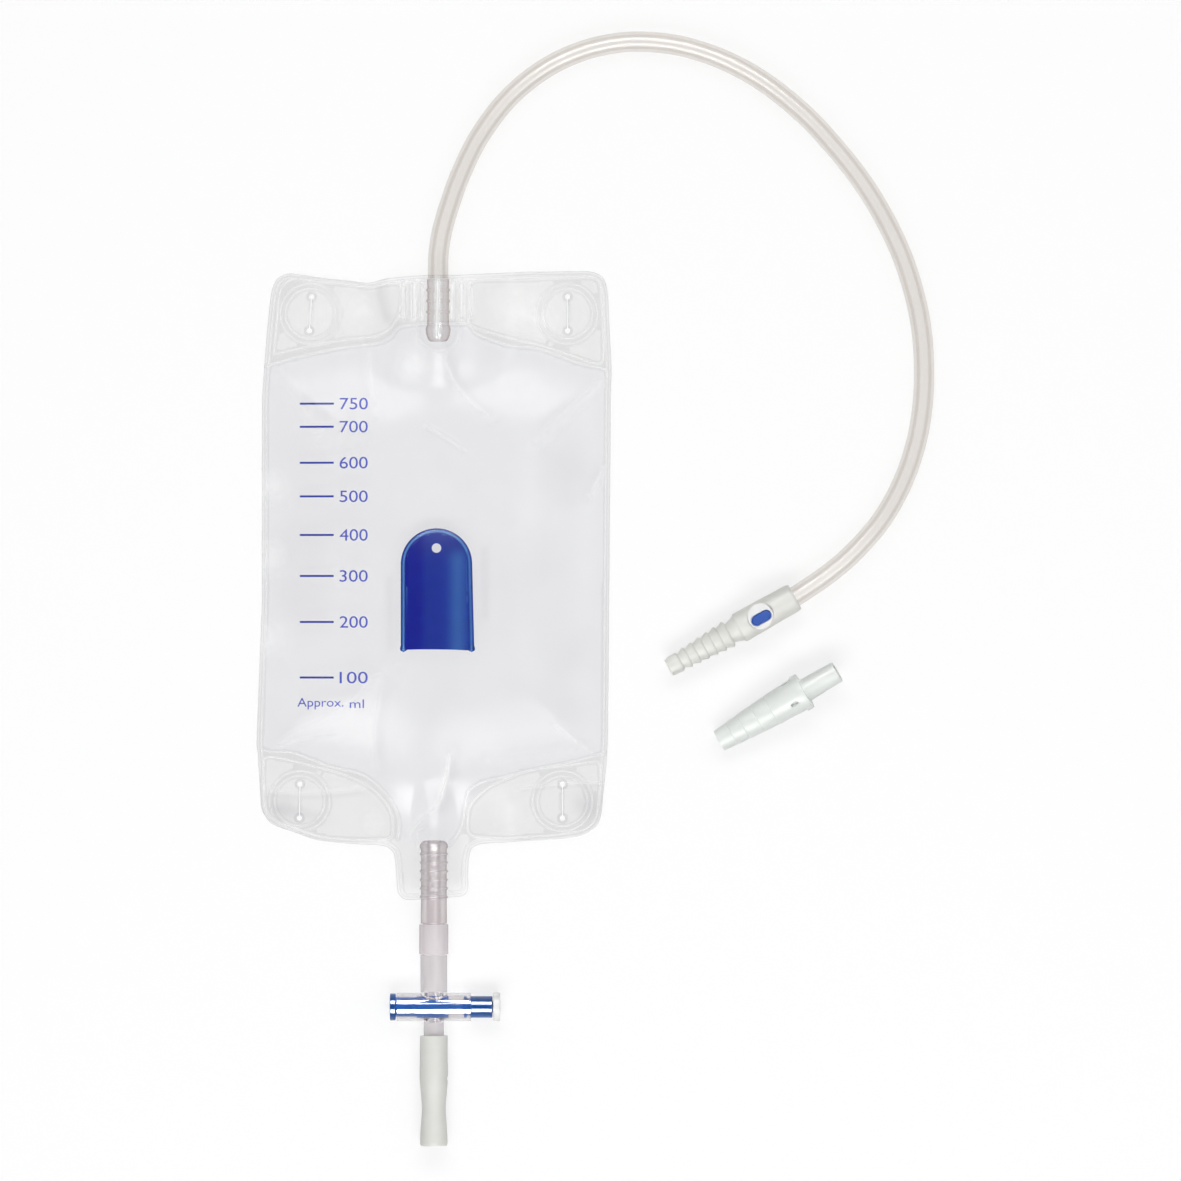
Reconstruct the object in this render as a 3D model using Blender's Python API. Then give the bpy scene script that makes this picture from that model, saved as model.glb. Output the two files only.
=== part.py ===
"""Urine drainage bag, with its inlet tube, sampling connector, push-through outlet tap and a loose adapter.

Metres, +Z up. The set lies flat on its back at z = 0. +Y runs from the outlet to the inlet, and +X to the
right as seen from above. The origin is on the back panel, at its middle.
"""

import math

import bmesh
import bpy
import numpy as np
from mathutils import Vector

# Clearances
SEAT = 0.0003  # between pieces that rest on, fit into or face each other
RUNNING = 0.0003  # round the plunger, all along the tap's barrel
OFF_FLOOR = 0.0001  # under the pieces that lie on the floor
CUT_PAST = 0.0020  # how far a cutter reaches past the face that it opens

# Shapes that the mouldings share
EDGE = 0.0004  # the small chamfer on an end
RIB_HALF_WIDTH = 0.0011
PORT_LIP = 0.0006  # the flat ring round a port's bore at its inner end

# The two films and their outline
FILM = 0.00035
BAG_WIDTH = 0.146
BAG_LENGTH = 0.240
CORNER_RADIUS = 0.008
BOTTOM_BOW = 0.005  # how much higher the bottom edge lies at its corners than at the neck
NECK_WIDTH = 0.0304
NECK_LENGTH = 0.0235
NECK_CORNER = 0.0016

# The welds, from the edge of the film to the edge of the chamber
SIDE_WELD = 0.002
TOP_WELD_MIDDLE = 0.023
TOP_WELD_SIDE = 0.0395
BOTTOM_WELD_MIDDLE = 0.024
BOTTOM_WELD_SIDE = 0.037
THROAT_WIDTH = 0.030
THROAT_WELD = 0.001

# The chamber between the films
CHAMBER_HEIGHT = 0.0060
CHAMBER_ROLL = 0.030  # how far in from a weld the front film reaches that height
WRAP_FOOT = 0.0030  # how far beside a port the two films come together
WRAP_FADE = 0.034  # how far past a port's inner end its bulge in the front film dies away
WRAP_LEAD = 0.0010  # how far past a port's inner end the bulge stays whole
WRAP_LEAVE = math.radians(22)  # how far down a port's round side the film leaves it
TENT = 0.026  # how far beside a port the weld comes down to the floor
FUNNEL = 0.020  # the stretch of film that narrows above the outlet port's bulge
FILM_SPARE = 0.002  # how far a film's sheet runs past its cut edge before it is cut
CUT_REACH = 0.030  # how far the cutters reach above and below the films

# Four button holes for the leg straps: the distance of each from its side edge and its end edge
BUTTON_INSETS = {
    (-1, 1): (0.0205, 0.0179),
    (1, 1): (0.0175, 0.0179),
    (-1, -1): (0.0160, 0.0175),
    (1, -1): (0.0197, 0.0174),
}
SLIT_LENGTH = 0.0143
SLIT_WIDTH = 0.0008
SLIT_END_RADIUS = 0.0011

# The inlet port, moulded, in the top weld
INLET_X = 0.0012
INLET_PORT_RADIUS = 0.0046
INLET_RIB_RADIUS = 0.0049
INLET_FLARE_RADIUS = 0.0052
INLET_BORE_RADIUS = 0.0023
INLET_PORT_LENGTH = 0.0262
INLET_PORT_INSET = 0.0035  # from the bag's top edge down to the port's outer face
INLET_RIB_PITCH = 0.0046
INLET_RIB_COUNT = 3
INLET_FLARE_RAMP = 0.0015  # how far the wall takes to widen into the flare
INLET_NOSE = 0.0056  # the rounded inner end, from the flare on

# The outlet port, moulded, in the bottom weld and the neck
OUTLET_X = -0.0006
OUTLET_PORT_RADIUS = 0.0055
OUTLET_RIB_RADIUS = 0.0058
OUTLET_FLARE_RADIUS = 0.0060
OUTLET_RIB_PITCH = 0.0045
OUTLET_RIB_COUNT = 4
OUTLET_FIRST_RIB = 0.0050  # from the port's inner end
OUTLET_FLARE_RAMP = 0.0010
OUTLET_NOSE = 0.0026
OUTLET_STEM_LENGTH = 0.0102  # the plain stretch below the neck
FLOW_BORE_RADIUS = 0.0028  # through the outlet port and the tap

# The coupling sleeve between the port and the tap
SLEEVE_RADIUS = 0.0061
SLEEVE_LENGTH = 0.0126
NIPPLE_RADIUS = 0.0045
NIPPLE_LENGTH = 0.0060

# The tap's clear body
BARREL_RADIUS = 0.0059
BARREL_WALL = 0.0010
BARREL_LENGTH = 0.0312
UPPER_SPIGOT_RADIUS = 0.0056
UPPER_SPIGOT_LENGTH = 0.0218  # from the sleeve to the middle of the barrel
LOWER_SPIGOT_RADIUS = 0.0042
LOWER_SPIGOT_LENGTH = 0.0234  # from the middle of the barrel to its tip

# The tap's plunger, from its left cap to the push button
PLUNGER_TRAVEL = 0.0090
CAP_RADIUS = 0.0057
CAP_THICKNESS = 0.0025
ROD_RADIUS = 0.0041  # between the left cap and the closing land
WAIST_RADIUS = 0.0026  # between the land and the seal
LAND_LEFT = -0.0072  # the closing land reaches this far left of the flow bore's middle
LAND_RIGHT = 0.0062
WAIST_WIDTH = 0.0063
SEAL_WIDTH = 0.0013
SEAL_GROOVE_RADIUS = 0.0036
BUTTON_RADIUS = 0.0060
BUTTON_THICKNESS = 0.0030
BUTTON_PIN_RADIUS = 0.0022
BUTTON_PIN_LENGTH = 0.0018

# The outlet tube below the tap
OUTLET_TUBE_WALL = 0.0013
OUTLET_TUBE_LENGTH = 0.0462
OUTLET_TUBE_START = 0.0120  # below the middle of the barrel
OUTLET_TUBE_WAIST = 0.0008  # how much its radius draws in above the mouth
OUTLET_TUBE_WAIST_AT = 0.0305  # from the tube's top
OUTLET_TUBE_WAIST_SPREAD = 0.0079
OUTLET_TUBE_BULGE = 0.0002
OUTLET_TUBE_BULGE_AT = 0.0166
OUTLET_TUBE_BULGE_SPREAD = 0.0055

# The reflux valve, one blue moulding under the front film
VALVE_TOP = 0.0120
VALVE_HEIGHT = 0.0515
VALVE_WIDTH = 0.0300
VALVE_X = 0.0005
VALVE_WEB = 0.0010
VALVE_BEAD_RADIUS = 0.00115
VALVE_NUB_RADIUS = 0.0014
VALVE_HOLE_RADIUS = 0.0020
VALVE_HOLE_DROP = 0.0083  # from the top of the arch to the middle of the hole
VALVE_FLARE = 0.0009  # how much further out the right leg ends than it starts
VALVE_WEB_STOP = 0.0006  # how far above the legs' ends the web stops

# The inlet tube, as a route over the floor
TUBE_RADIUS = 0.0043
TUBE_REST = TUBE_RADIUS + OFF_FLOOR
TUBE_POINT_EVERY = 0.018
TUBE_LEAD = 0.006  # how far it runs straight out of the port
INLET_ROUTE = [
    (0.0014, 0.1275, 0.0058),
    (0.0027, 0.1360, 0.0053),
    (0.0056, 0.1465, 0.0047),
    (0.0107, 0.1607, TUBE_REST),
    (0.0186, 0.1766, TUBE_REST),
    (0.0306, 0.1924, TUBE_REST),
    (0.0454, 0.2045, TUBE_REST),
    (0.0612, 0.2121, TUBE_REST),
    (0.0770, 0.2157, TUBE_REST),
    (0.0916, 0.2159, TUBE_REST),
    (0.1061, 0.2136, TUBE_REST),
    (0.1221, 0.2080, TUBE_REST),
    (0.1380, 0.1991, TUBE_REST),
    (0.1539, 0.1864, TUBE_REST),
    (0.1662, 0.1735, TUBE_REST),
    (0.1777, 0.1592, TUBE_REST),
    (0.1869, 0.1447, TUBE_REST),
    (0.1949, 0.1285, TUBE_REST),
    (0.2003, 0.1126, TUBE_REST),
    (0.2037, 0.0969, TUBE_REST),
    (0.2050, 0.0811, TUBE_REST),
    (0.2045, 0.0646, TUBE_REST),
    (0.2018, 0.0482, TUBE_REST),
    (0.1961, 0.0314, TUBE_REST),
    (0.1875, 0.0159, TUBE_REST),
    (0.1765, 0.0030, 0.0050),
    (0.1655, -0.0067, 0.0060),
]

# The sampling connector on the tube's far end: sizes along its axis run from the tip
CONNECTOR_TIP = (0.0978, -0.0465)
CONNECTOR_TURN = math.radians(29.4)
CONNECTOR_LENGTH = 0.0607
CONNECTOR_TIP_RADIUS = 0.0039
CONNECTOR_BORE_RADIUS = 0.0025
BARB_START = 0.0052
BARB_PITCH = 0.0039
BARB_COUNT = 7
BARB_FIRST_RADIUS = 0.0042
BARB_LAST_RADIUS = 0.0059
BARB_DROP = 0.0006
BARB_FACE = 0.0003  # how far along the axis a barb takes to drop
CONNECTOR_NECK_AT = 0.0008  # behind the last barb's crest
CONNECTOR_NECK_RADIUS = 0.0042
CONNECTOR_SHOULDER = 0.0342  # where the body starts
CONNECTOR_SHOULDER_EDGE = 0.0009
CONNECTOR_BODY_RADIUS = 0.0065
CONNECTOR_REAR_RADIUS = 0.0061
CONNECTOR_ROUND = 0.0010
SOCKET_DEPTH = 0.0090

# The sampling port on the connector
SAMPLE_PORT_AT = 0.0441
COLLAR_RADIUS = 0.0055
COLLAR_PROUD = 0.0012
COLLAR_DEPTH = 0.0014
SEPTUM_LENGTH = 0.0088
SEPTUM_WIDTH = 0.0050
SEPTUM_PROUD = 0.0004
SEPTUM_DEPTH = 0.0012  # how deep its well goes into the collar

# The loose adapter: sizes along its axis run from its small end
ADAPTER_SMALL_END = (0.1190, -0.0772)
ADAPTER_TURN = math.radians(30.5)
ADAPTER_LENGTH = 0.0577
ADAPTER_STEPS = [(0.0000, 0.0047), (0.0066, 0.0054), (0.0122, 0.0059), (0.0190, 0.0064), (0.0259, 0.0069)]
ADAPTER_STEP_RISE = 0.0002
ADAPTER_CONE_RADIUS = 0.0074
ADAPTER_FLANGE_AT = 0.0388
ADAPTER_FLANGE_THICKNESS = 0.0030
ADAPTER_FLANGE_RADIUS = 0.0081
ADAPTER_SPIGOT_RADIUS = 0.0050
ADAPTER_SPIGOT_END_RADIUS = 0.0046
ADAPTER_BORE_RADIUS = 0.0034
ADAPTER_WINDOW_LENGTH = 0.0036
ADAPTER_WINDOW_WIDTH = 0.0022
ADAPTER_WINDOW_AT = 0.0358
ADAPTER_WINDOW_COUNT = 4
ADAPTER_WINDOW_DEPTH = 0.0012
ADAPTER_WINDOW_TURN = math.radians(9)  # the first window's turn from the top

ROUND_SEGMENTS = 24
ARC_SEGMENTS = 6


# Places worked out from the sizes above

INLET_WRAP = INLET_FLARE_RADIUS + SEAT
OUTLET_WRAP = OUTLET_FLARE_RADIUS + SEAT
INLET_Z = INLET_WRAP + FILM
OUTLET_Z = OUTLET_WRAP + FILM
WELD_Z = FILM + SEAT / 2  # the plane where the two films meet, over the floor

BAG_TOP = BAG_LENGTH / 2
BAG_BOTTOM = -BAG_LENGTH / 2
NECK_END = BAG_BOTTOM - NECK_LENGTH

INLET_OUTER_Y = BAG_TOP - INLET_PORT_INSET
INLET_INNER_Y = INLET_OUTER_Y - INLET_PORT_LENGTH
OUTLET_INNER_Y = BAG_BOTTOM + THROAT_WELD
SLEEVE_TOP_Y = NECK_END - OUTLET_STEM_LENGTH - SEAT
SLEEVE_BOTTOM_Y = SLEEVE_TOP_Y - SLEEVE_LENGTH
TAP_Y = SLEEVE_BOTTOM_Y - SEAT - UPPER_SPIGOT_LENGTH
OUTLET_TUBE_BORE = LOWER_SPIGOT_RADIUS + SEAT
OUTLET_TUBE_RADIUS = OUTLET_TUBE_BORE + OUTLET_TUBE_WALL

PLUNGER_RADIUS = BARREL_RADIUS - BARREL_WALL - RUNNING
SOCKET_RADIUS = TUBE_RADIUS + SEAT
CONNECTOR_Z = CONNECTOR_BODY_RADIUS + OFF_FLOOR
VALVE_Z = WELD_Z + SEAT / 2 + CHAMBER_HEIGHT - SEAT - VALVE_BEAD_RADIUS


# Helpers

def mix(a, b, share):
    return a + (b - a) * share


def linear(hex_colour):
    """An sRGB hex colour as linear red, green, blue and an alpha of 1."""
    channels = [int(hex_colour[i:i + 2], 16) / 255 for i in (1, 3, 5)]
    return [c / 12.92 if c <= 0.04045 else ((c + 0.055) / 1.055) ** 2.4 for c in channels] + [1.0]


def plastic(name, hex_colour, roughness, alpha=1.0):
    material = bpy.data.materials.new(name)
    material.use_nodes = True
    shader = material.node_tree.nodes["Principled BSDF"]
    shader.inputs["Base Color"].default_value = linear(hex_colour)
    shader.inputs["Roughness"].default_value = roughness
    shader.inputs["Metallic"].default_value = 0.0
    shader.inputs["Alpha"].default_value = alpha
    material.diffuse_color = linear(hex_colour)[:3] + [alpha]
    return material


def piece(name, bm, material, smooth=True):
    """The bmesh as a named object, with its normals facing out."""
    bmesh.ops.recalc_face_normals(bm, faces=bm.faces)
    mesh = bpy.data.meshes.new(name)
    bm.to_mesh(mesh)
    bm.free()
    if smooth:
        mesh.shade_smooth()
        mesh.set_sharp_from_angle(angle=math.radians(35))
    obj = bpy.data.objects.new(name, mesh)
    bpy.context.scene.collection.objects.link(obj)
    if material:
        obj.data.materials.append(material)
    return obj


def empty(name, location, turn=0.0, pitch=0.0):
    obj = bpy.data.objects.new(name, None)
    obj.location = location
    obj.rotation_euler = (0.0, -pitch, turn)
    bpy.context.scene.collection.objects.link(obj)
    return obj


def helper(obj):
    obj.hide_render = True
    obj.display_type = "WIRE"
    return obj


def boolean(obj, other, operation):
    modifier = obj.modifiers.new(f"{operation.lower()} {other.name}", "BOOLEAN")
    modifier.operation = operation
    modifier.solver = "EXACT"
    modifier.object = helper(other)


def turned_mesh(profile, segments=ROUND_SEGMENTS):
    """A closed mesh turned about the X axis. The profile's points are (place along X, radius)."""
    bm = bmesh.new()
    points = [bm.verts.new((along, 0.0, radius)) for along, radius in profile]
    edges = [bm.edges.new((a, b)) for a, b in zip(points, points[1:])]
    if min(radius for _, radius in profile) > 0:
        edges.append(bm.edges.new((points[-1], points[0])))
    bmesh.ops.spin(
        bm,
        geom=points + edges,
        cent=(0, 0, 0),
        axis=(1, 0, 0),
        angle=math.tau,
        steps=segments,
        use_merge=True,
    )
    bmesh.ops.remove_doubles(bm, verts=bm.verts, dist=0.000001)
    return bm


def turned(name, profile, material, parent=None, location=(0, 0, 0), turn=0.0):
    obj = piece(name, turned_mesh(profile), material)
    obj.parent = parent
    obj.location = location
    obj.rotation_euler = (0.0, 0.0, turn)
    return obj


def extruded(name, outlines, low, high, material=None):
    """One prism for each outline, from z = low to z = high, in one object."""
    bm = bmesh.new()
    for outline in outlines:
        base = bm.faces.new([bm.verts.new((x, y, low)) for x, y in outline])
        top = bmesh.ops.extrude_face_region(bm, geom=[base])
        moved = [v for v in top["geom"] if isinstance(v, bmesh.types.BMVert)]
        bmesh.ops.translate(bm, verts=moved, vec=(0, 0, high - low))
    return piece(name, bm, material, smooth=False)


def arc(centre, radius, start, end, segments=ARC_SEGMENTS):
    """Points on an arc from the angle start to the angle end, in degrees."""
    angles = [math.radians(mix(start, end, k / segments)) for k in range(segments + 1)]
    return [(centre[0] + radius * math.cos(a), centre[1] + radius * math.sin(a)) for a in angles]


def stadium(length, width):
    reach = (length - width) / 2
    return arc((reach, 0), width / 2, -90, 90) + arc((-reach, 0), width / 2, 90, 270)


# The bag's films

def bag_outline():
    """The cut edge of the films: a sheet with round corners, a bowed bottom edge and a neck."""
    half = BAG_WIDTH / 2
    low = BAG_BOTTOM + BOTTOM_BOW
    neck = NECK_WIDTH / 2
    corner = half - CORNER_RADIUS
    right = arc((corner, BAG_TOP - CORNER_RADIUS), CORNER_RADIUS, 90, 0)
    right += arc((corner, low + CORNER_RADIUS), CORNER_RADIUS, 0, -90)
    reach = corner - neck
    for share in (0.75, 0.5, 0.25, 0.0):
        right.append((neck + reach * share, BAG_BOTTOM + BOTTOM_BOW * share ** 2))
    right += arc((neck - NECK_CORNER, NECK_END + NECK_CORNER), NECK_CORNER, 0, -90, 3)
    return right + [(-x, y) for x, y in reversed(right)]


def button_places():
    half = BAG_WIDTH / 2
    return [
        (side * (half - inset), end * (BAG_TOP - drop))
        for (side, end), (inset, drop) in BUTTON_INSETS.items()
    ]


def slit_outline(centre):
    """A button hole: a narrow upright slit with a round hole at each end."""
    reach = SLIT_LENGTH / 2
    mouth = math.degrees(math.asin(SLIT_WIDTH / 2 / SLIT_END_RADIUS))
    x, y = centre
    upper = arc((x, y + reach), SLIT_END_RADIUS, -90 + mouth, 270 - mouth)
    lower = arc((x, y - reach), SLIT_END_RADIUS, 90 + mouth, 450 - mouth)
    return upper + lower


def chamber_depth(x, y):
    """How far a point lies inside the welds round the chamber, in metres, or 0 outside them."""
    half = BAG_WIDTH / 2 - SIDE_WELD
    share = min(abs(x) / half, 1.0)
    top = BAG_TOP - mix(TOP_WELD_MIDDLE, TOP_WELD_SIDE, share)
    bottom = BAG_BOTTOM + mix(BOTTOM_WELD_MIDDLE, BOTTOM_WELD_SIDE, share)
    panel = min(half - abs(x), top - y, y - bottom)
    throat = min(THROAT_WIDTH / 2 - abs(x - OUTLET_X), y - BAG_BOTTOM - THROAT_WELD, top - y)
    return max(panel, throat, 0.0)


def smooth_step(share):
    share = min(max(share, 0.0), 1.0)
    return share * share * (3 - 2 * share)


def port_wrap(offset, radius):
    """A film's stand-off from the weld plane beside a round port: over the round, then straight to its foot."""
    leave = radius * math.cos(WRAP_LEAVE)
    if offset <= leave:
        return math.sqrt(radius ** 2 - offset ** 2)
    share = (offset - leave) / (radius + WRAP_FOOT - leave)
    return mix(math.sqrt(radius ** 2 - leave ** 2), 0.0, min(share, 1.0))


def port_shape(x, y, middle, radius, height, past):
    """(rise of the weld plane, stand-off of a film) for a port whose inner end is `past` metres away."""
    offset = abs(x - middle)
    near = 1 - smooth_step(past / WRAP_FADE)
    rise = (height - WELD_Z) * (1 - smooth_step((offset - radius - WRAP_FOOT) / TENT))
    return rise * near, port_wrap(offset, radius) * near


def film_height(x, y, front):
    """The height of the front or the back film's inner face over the floor."""
    shapes = [
        port_shape(x, y, INLET_X, INLET_WRAP, INLET_Z, INLET_INNER_Y - WRAP_LEAD - y),
        port_shape(x, y, OUTLET_X, OUTLET_WRAP, OUTLET_Z, y - OUTLET_INNER_Y - WRAP_LEAD),
    ]
    rise, wrap = (max(values) for values in zip(*shapes))
    inside = 1 - (1 - min(chamber_depth(x, y) / CHAMBER_ROLL, 1.0)) ** 2
    if front:
        return WELD_Z + SEAT / 2 + ((rise + wrap) ** 4 + (CHAMBER_HEIGHT * inside) ** 4) ** 0.25
    return WELD_Z - SEAT / 2 + (rise - wrap) * (1 - inside)


def film_rows():
    """Heights along Y of the films' grid, from the top edge to the neck: closer together near the ports."""
    ends_and_counts = [
        (INLET_INNER_Y - WRAP_LEAD, 4),
        (INLET_INNER_Y - WRAP_FADE, 6),
        (OUTLET_INNER_Y + WRAP_FADE + FUNNEL, 6),
        (OUTLET_INNER_Y + WRAP_LEAD, 9),
        (NECK_END - FILM_SPARE, 3),
    ]
    rows = [BAG_TOP + FILM_SPARE]
    for end, count in ends_and_counts:
        start = rows[-1]
        rows += [mix(start, end, (k + 1) / count) for k in range(count)]
    return rows


def film_columns(y):
    """Places along X of the films' grid at the height y: spread over both flanks, and round the port."""
    flank_columns, arc_columns = 7, 8
    share = (BAG_TOP - y) / BAG_LENGTH
    middle = mix(INLET_X, OUTLET_X, share)
    radius = mix(INLET_WRAP, OUTLET_WRAP, share)
    edge = BAG_WIDTH / 2 + FILM_SPARE
    foot = radius + WRAP_FOOT
    spread = [(k / flank_columns) ** 1.5 for k in range(flank_columns + 1)]
    left = [mix(middle - foot, -edge, s) for s in reversed(spread)]
    right = [mix(middle + foot, edge, s) for s in spread]
    round_port = [middle - radius * math.cos(math.pi * k / arc_columns) for k in range(1, arc_columns)]
    return left + round_port + right


def film(name, front, outline, slits, material):
    """One film of the bag: a shaped grid given its thickness outwards, cut to the outline and slit."""
    bm = bmesh.new()
    grid = [[bm.verts.new((x, y, film_height(x, y, front))) for x in film_columns(y)] for y in film_rows()]
    for upper, lower in zip(grid, grid[1:]):
        for k in range(len(upper) - 1):
            for corners in (
                (lower[k], lower[k + 1], upper[k + 1]),
                (lower[k], upper[k + 1], upper[k]),
            ):
                bm.faces.new(corners if front else corners[::-1])
    mesh = bpy.data.meshes.new(name)
    bm.to_mesh(mesh)
    bm.free()
    mesh.materials.append(material)
    mesh.shade_smooth()
    obj = bpy.data.objects.new(name, mesh)
    bpy.context.scene.collection.objects.link(obj)
    thicken = obj.modifiers.new("film thickness", "SOLIDIFY")
    thicken.thickness = FILM
    thicken.offset = 1.0
    boolean(obj, outline, "INTERSECT")
    boolean(obj, slits, "DIFFERENCE")
    return obj


def make_films(clear_film):
    outline = extruded("bag_outline", [bag_outline()], -CUT_REACH, CUT_REACH)
    slit_outlines = [slit_outline(place) for place in button_places()]
    slits = extruded("button_slits", slit_outlines, -CUT_REACH, CUT_REACH)
    film("front_film", True, outline, slits, clear_film)
    film("back_film", False, outline, slits, clear_film)


# The reflux valve

def valve_path():
    """The middle of the bead, from the left leg's end over the arch to the right leg's end."""
    radius = VALVE_WIDTH / 2 - VALVE_BEAD_RADIUS
    spring = VALVE_TOP - VALVE_WIDTH / 2
    end = VALVE_TOP - VALVE_HEIGHT + VALVE_NUB_RADIUS
    over = arc((VALVE_X, spring), radius, 180, 0, 14)
    return [(VALVE_X - radius, end), *over, (VALVE_X + radius + VALVE_FLARE, end)]


def bead(name, path, height, radius, material=None, sides=8):
    """A round bead along a level path, with flat ends."""
    bm = bmesh.new()
    rings = []
    for k, (x, y) in enumerate(path):
        before = Vector(path[max(k - 1, 0)])
        after = Vector(path[min(k + 1, len(path) - 1)])
        along = (after - before).normalized()
        across = Vector((-along.y, along.x))
        ring = []
        for side in range(sides):
            angle = math.tau * (side + 0.5) / sides
            out = radius * math.cos(angle) / math.cos(math.pi / sides)
            up = radius * math.sin(angle) / math.cos(math.pi / sides)
            ring.append(bm.verts.new((x + across.x * out, y + across.y * out, height + up)))
        rings.append(ring)
    for first, second in zip(rings, rings[1:]):
        for side in range(sides):
            after = (side + 1) % sides
            bm.faces.new((first[side], first[after], second[after], second[side]))
    bm.faces.new(rings[0])
    bm.faces.new(rings[-1])
    return piece(name, bm, material)


def ball(name, centre, radius):
    bm = bmesh.new()
    bmesh.ops.create_uvsphere(bm, u_segments=12, v_segments=8, radius=radius)
    bmesh.ops.translate(bm, verts=bm.verts, vec=centre)
    return piece(name, bm, None)


def make_reflux_valve(blue):
    """A flat tongue with a hole, edged by a round bead that ends in two nubs."""
    path = valve_path()
    web_end = path[0][1] + VALVE_WEB_STOP
    foot_right = path[-1][0] - VALVE_FLARE * VALVE_WEB_STOP / VALVE_HEIGHT
    web_path = [(path[0][0], web_end), *path[1:-1], (foot_right, web_end)]
    web = extruded("reflux_valve", [web_path], VALVE_Z - VALVE_WEB / 2, VALVE_Z + VALVE_WEB / 2, blue)
    boolean(web, bead("valve_bead", path, VALVE_Z, VALVE_BEAD_RADIUS), "UNION")
    for label, (x, y) in (("left", path[0]), ("right", path[-1])):
        boolean(web, ball(f"valve_nub_{label}", (x, y, VALVE_Z), VALVE_NUB_RADIUS), "UNION")
    hole = arc((VALVE_X, VALVE_TOP - VALVE_HOLE_DROP), VALVE_HOLE_RADIUS, 0, 345, 23)
    boolean(web, extruded("valve_hole", [hole], VALVE_Z - CUT_PAST, VALVE_Z + CUT_PAST), "DIFFERENCE")


# The two ports

def ribs(first, pitch, count, low, high):
    """Profile points of round ribs along a turned piece: each is a short ramp up and down."""
    foot = RIB_HALF_WIDTH
    crest = RIB_HALF_WIDTH / 3
    points = []
    for k in range(count):
        at = first + pitch * k
        points += [(at - foot, low), (at - crest, high), (at + crest, high), (at + foot, low)]
    return points


def nose(start, end, wide, narrow, segments=4):
    """Profile points over a rounded end, wide at start and narrow at end: a quarter of an ellipse."""
    angles = [math.pi / 2 * k / segments for k in range(segments + 1)]
    return [(mix(start, end, math.sin(a)), mix(narrow, wide, math.cos(a))) for a in angles]


def make_inlet_port(clear_moulding):
    """A ribbed tube with a flared, rounded inner end. Its profile runs inwards from the outer face."""
    flare_at = INLET_PORT_LENGTH - INLET_NOSE
    profile = [(0.0, INLET_BORE_RADIUS), (0.0, INLET_PORT_RADIUS)]
    profile += ribs(INLET_RIB_PITCH, INLET_RIB_PITCH, INLET_RIB_COUNT, INLET_PORT_RADIUS, INLET_RIB_RADIUS)
    profile.append((flare_at - INLET_FLARE_RAMP, INLET_PORT_RADIUS))
    profile += nose(flare_at, INLET_PORT_LENGTH, INLET_FLARE_RADIUS, INLET_BORE_RADIUS + PORT_LIP)
    profile.append((INLET_PORT_LENGTH, INLET_BORE_RADIUS))
    place = (INLET_X, INLET_OUTER_Y, INLET_Z)
    turned("inlet_port", profile, clear_moulding, location=place, turn=-math.pi / 2)


def make_outlet_port(clear_moulding):
    """A flared inner end, a ribbed stretch through the neck, a plain stem and the nipple in the sleeve."""
    start = NECK_END - OUTLET_STEM_LENGTH
    length = OUTLET_INNER_Y - start
    inner_end = nose(OUTLET_NOSE, 0.0, OUTLET_FLARE_RADIUS, FLOW_BORE_RADIUS + PORT_LIP)
    profile = [(0.0, FLOW_BORE_RADIUS), *reversed(inner_end)]
    profile.append((OUTLET_NOSE + OUTLET_FLARE_RAMP, OUTLET_PORT_RADIUS))
    rib_radii = (OUTLET_PORT_RADIUS, OUTLET_RIB_RADIUS)
    profile += ribs(OUTLET_FIRST_RIB, OUTLET_RIB_PITCH, OUTLET_RIB_COUNT, *rib_radii)
    profile += [
        (length, OUTLET_PORT_RADIUS),
        (length, NIPPLE_RADIUS),
        (length + NIPPLE_LENGTH, NIPPLE_RADIUS),
        (length + NIPPLE_LENGTH, FLOW_BORE_RADIUS),
    ]
    place = (OUTLET_X, OUTLET_INNER_Y, OUTLET_Z)
    turned("outlet_port", profile, clear_moulding, location=place, turn=-math.pi / 2)


def make_coupling_sleeve(clear_moulding):
    bore = NIPPLE_RADIUS + SEAT
    profile = [
        (0.0, bore),
        (0.0, SLEEVE_RADIUS - EDGE),
        (EDGE, SLEEVE_RADIUS),
        (SLEEVE_LENGTH - EDGE, SLEEVE_RADIUS),
        (SLEEVE_LENGTH, SLEEVE_RADIUS - EDGE),
        (SLEEVE_LENGTH, bore),
    ]
    place = (OUTLET_X, SLEEVE_TOP_Y, OUTLET_Z)
    turned("coupling_sleeve", profile, clear_moulding, location=place, turn=-math.pi / 2)


# The tap: everything is placed from the middle of its barrel

def rod(name, start, end, radius, along_y=False):
    """A plain round cutter or boss along X, or along Y."""
    obj = turned(name, [(start, 0.0), (start, radius), (end, radius), (end, 0.0)], None)
    obj.rotation_euler = (0.0, 0.0, math.pi / 2 if along_y else 0.0)
    return obj


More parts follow.
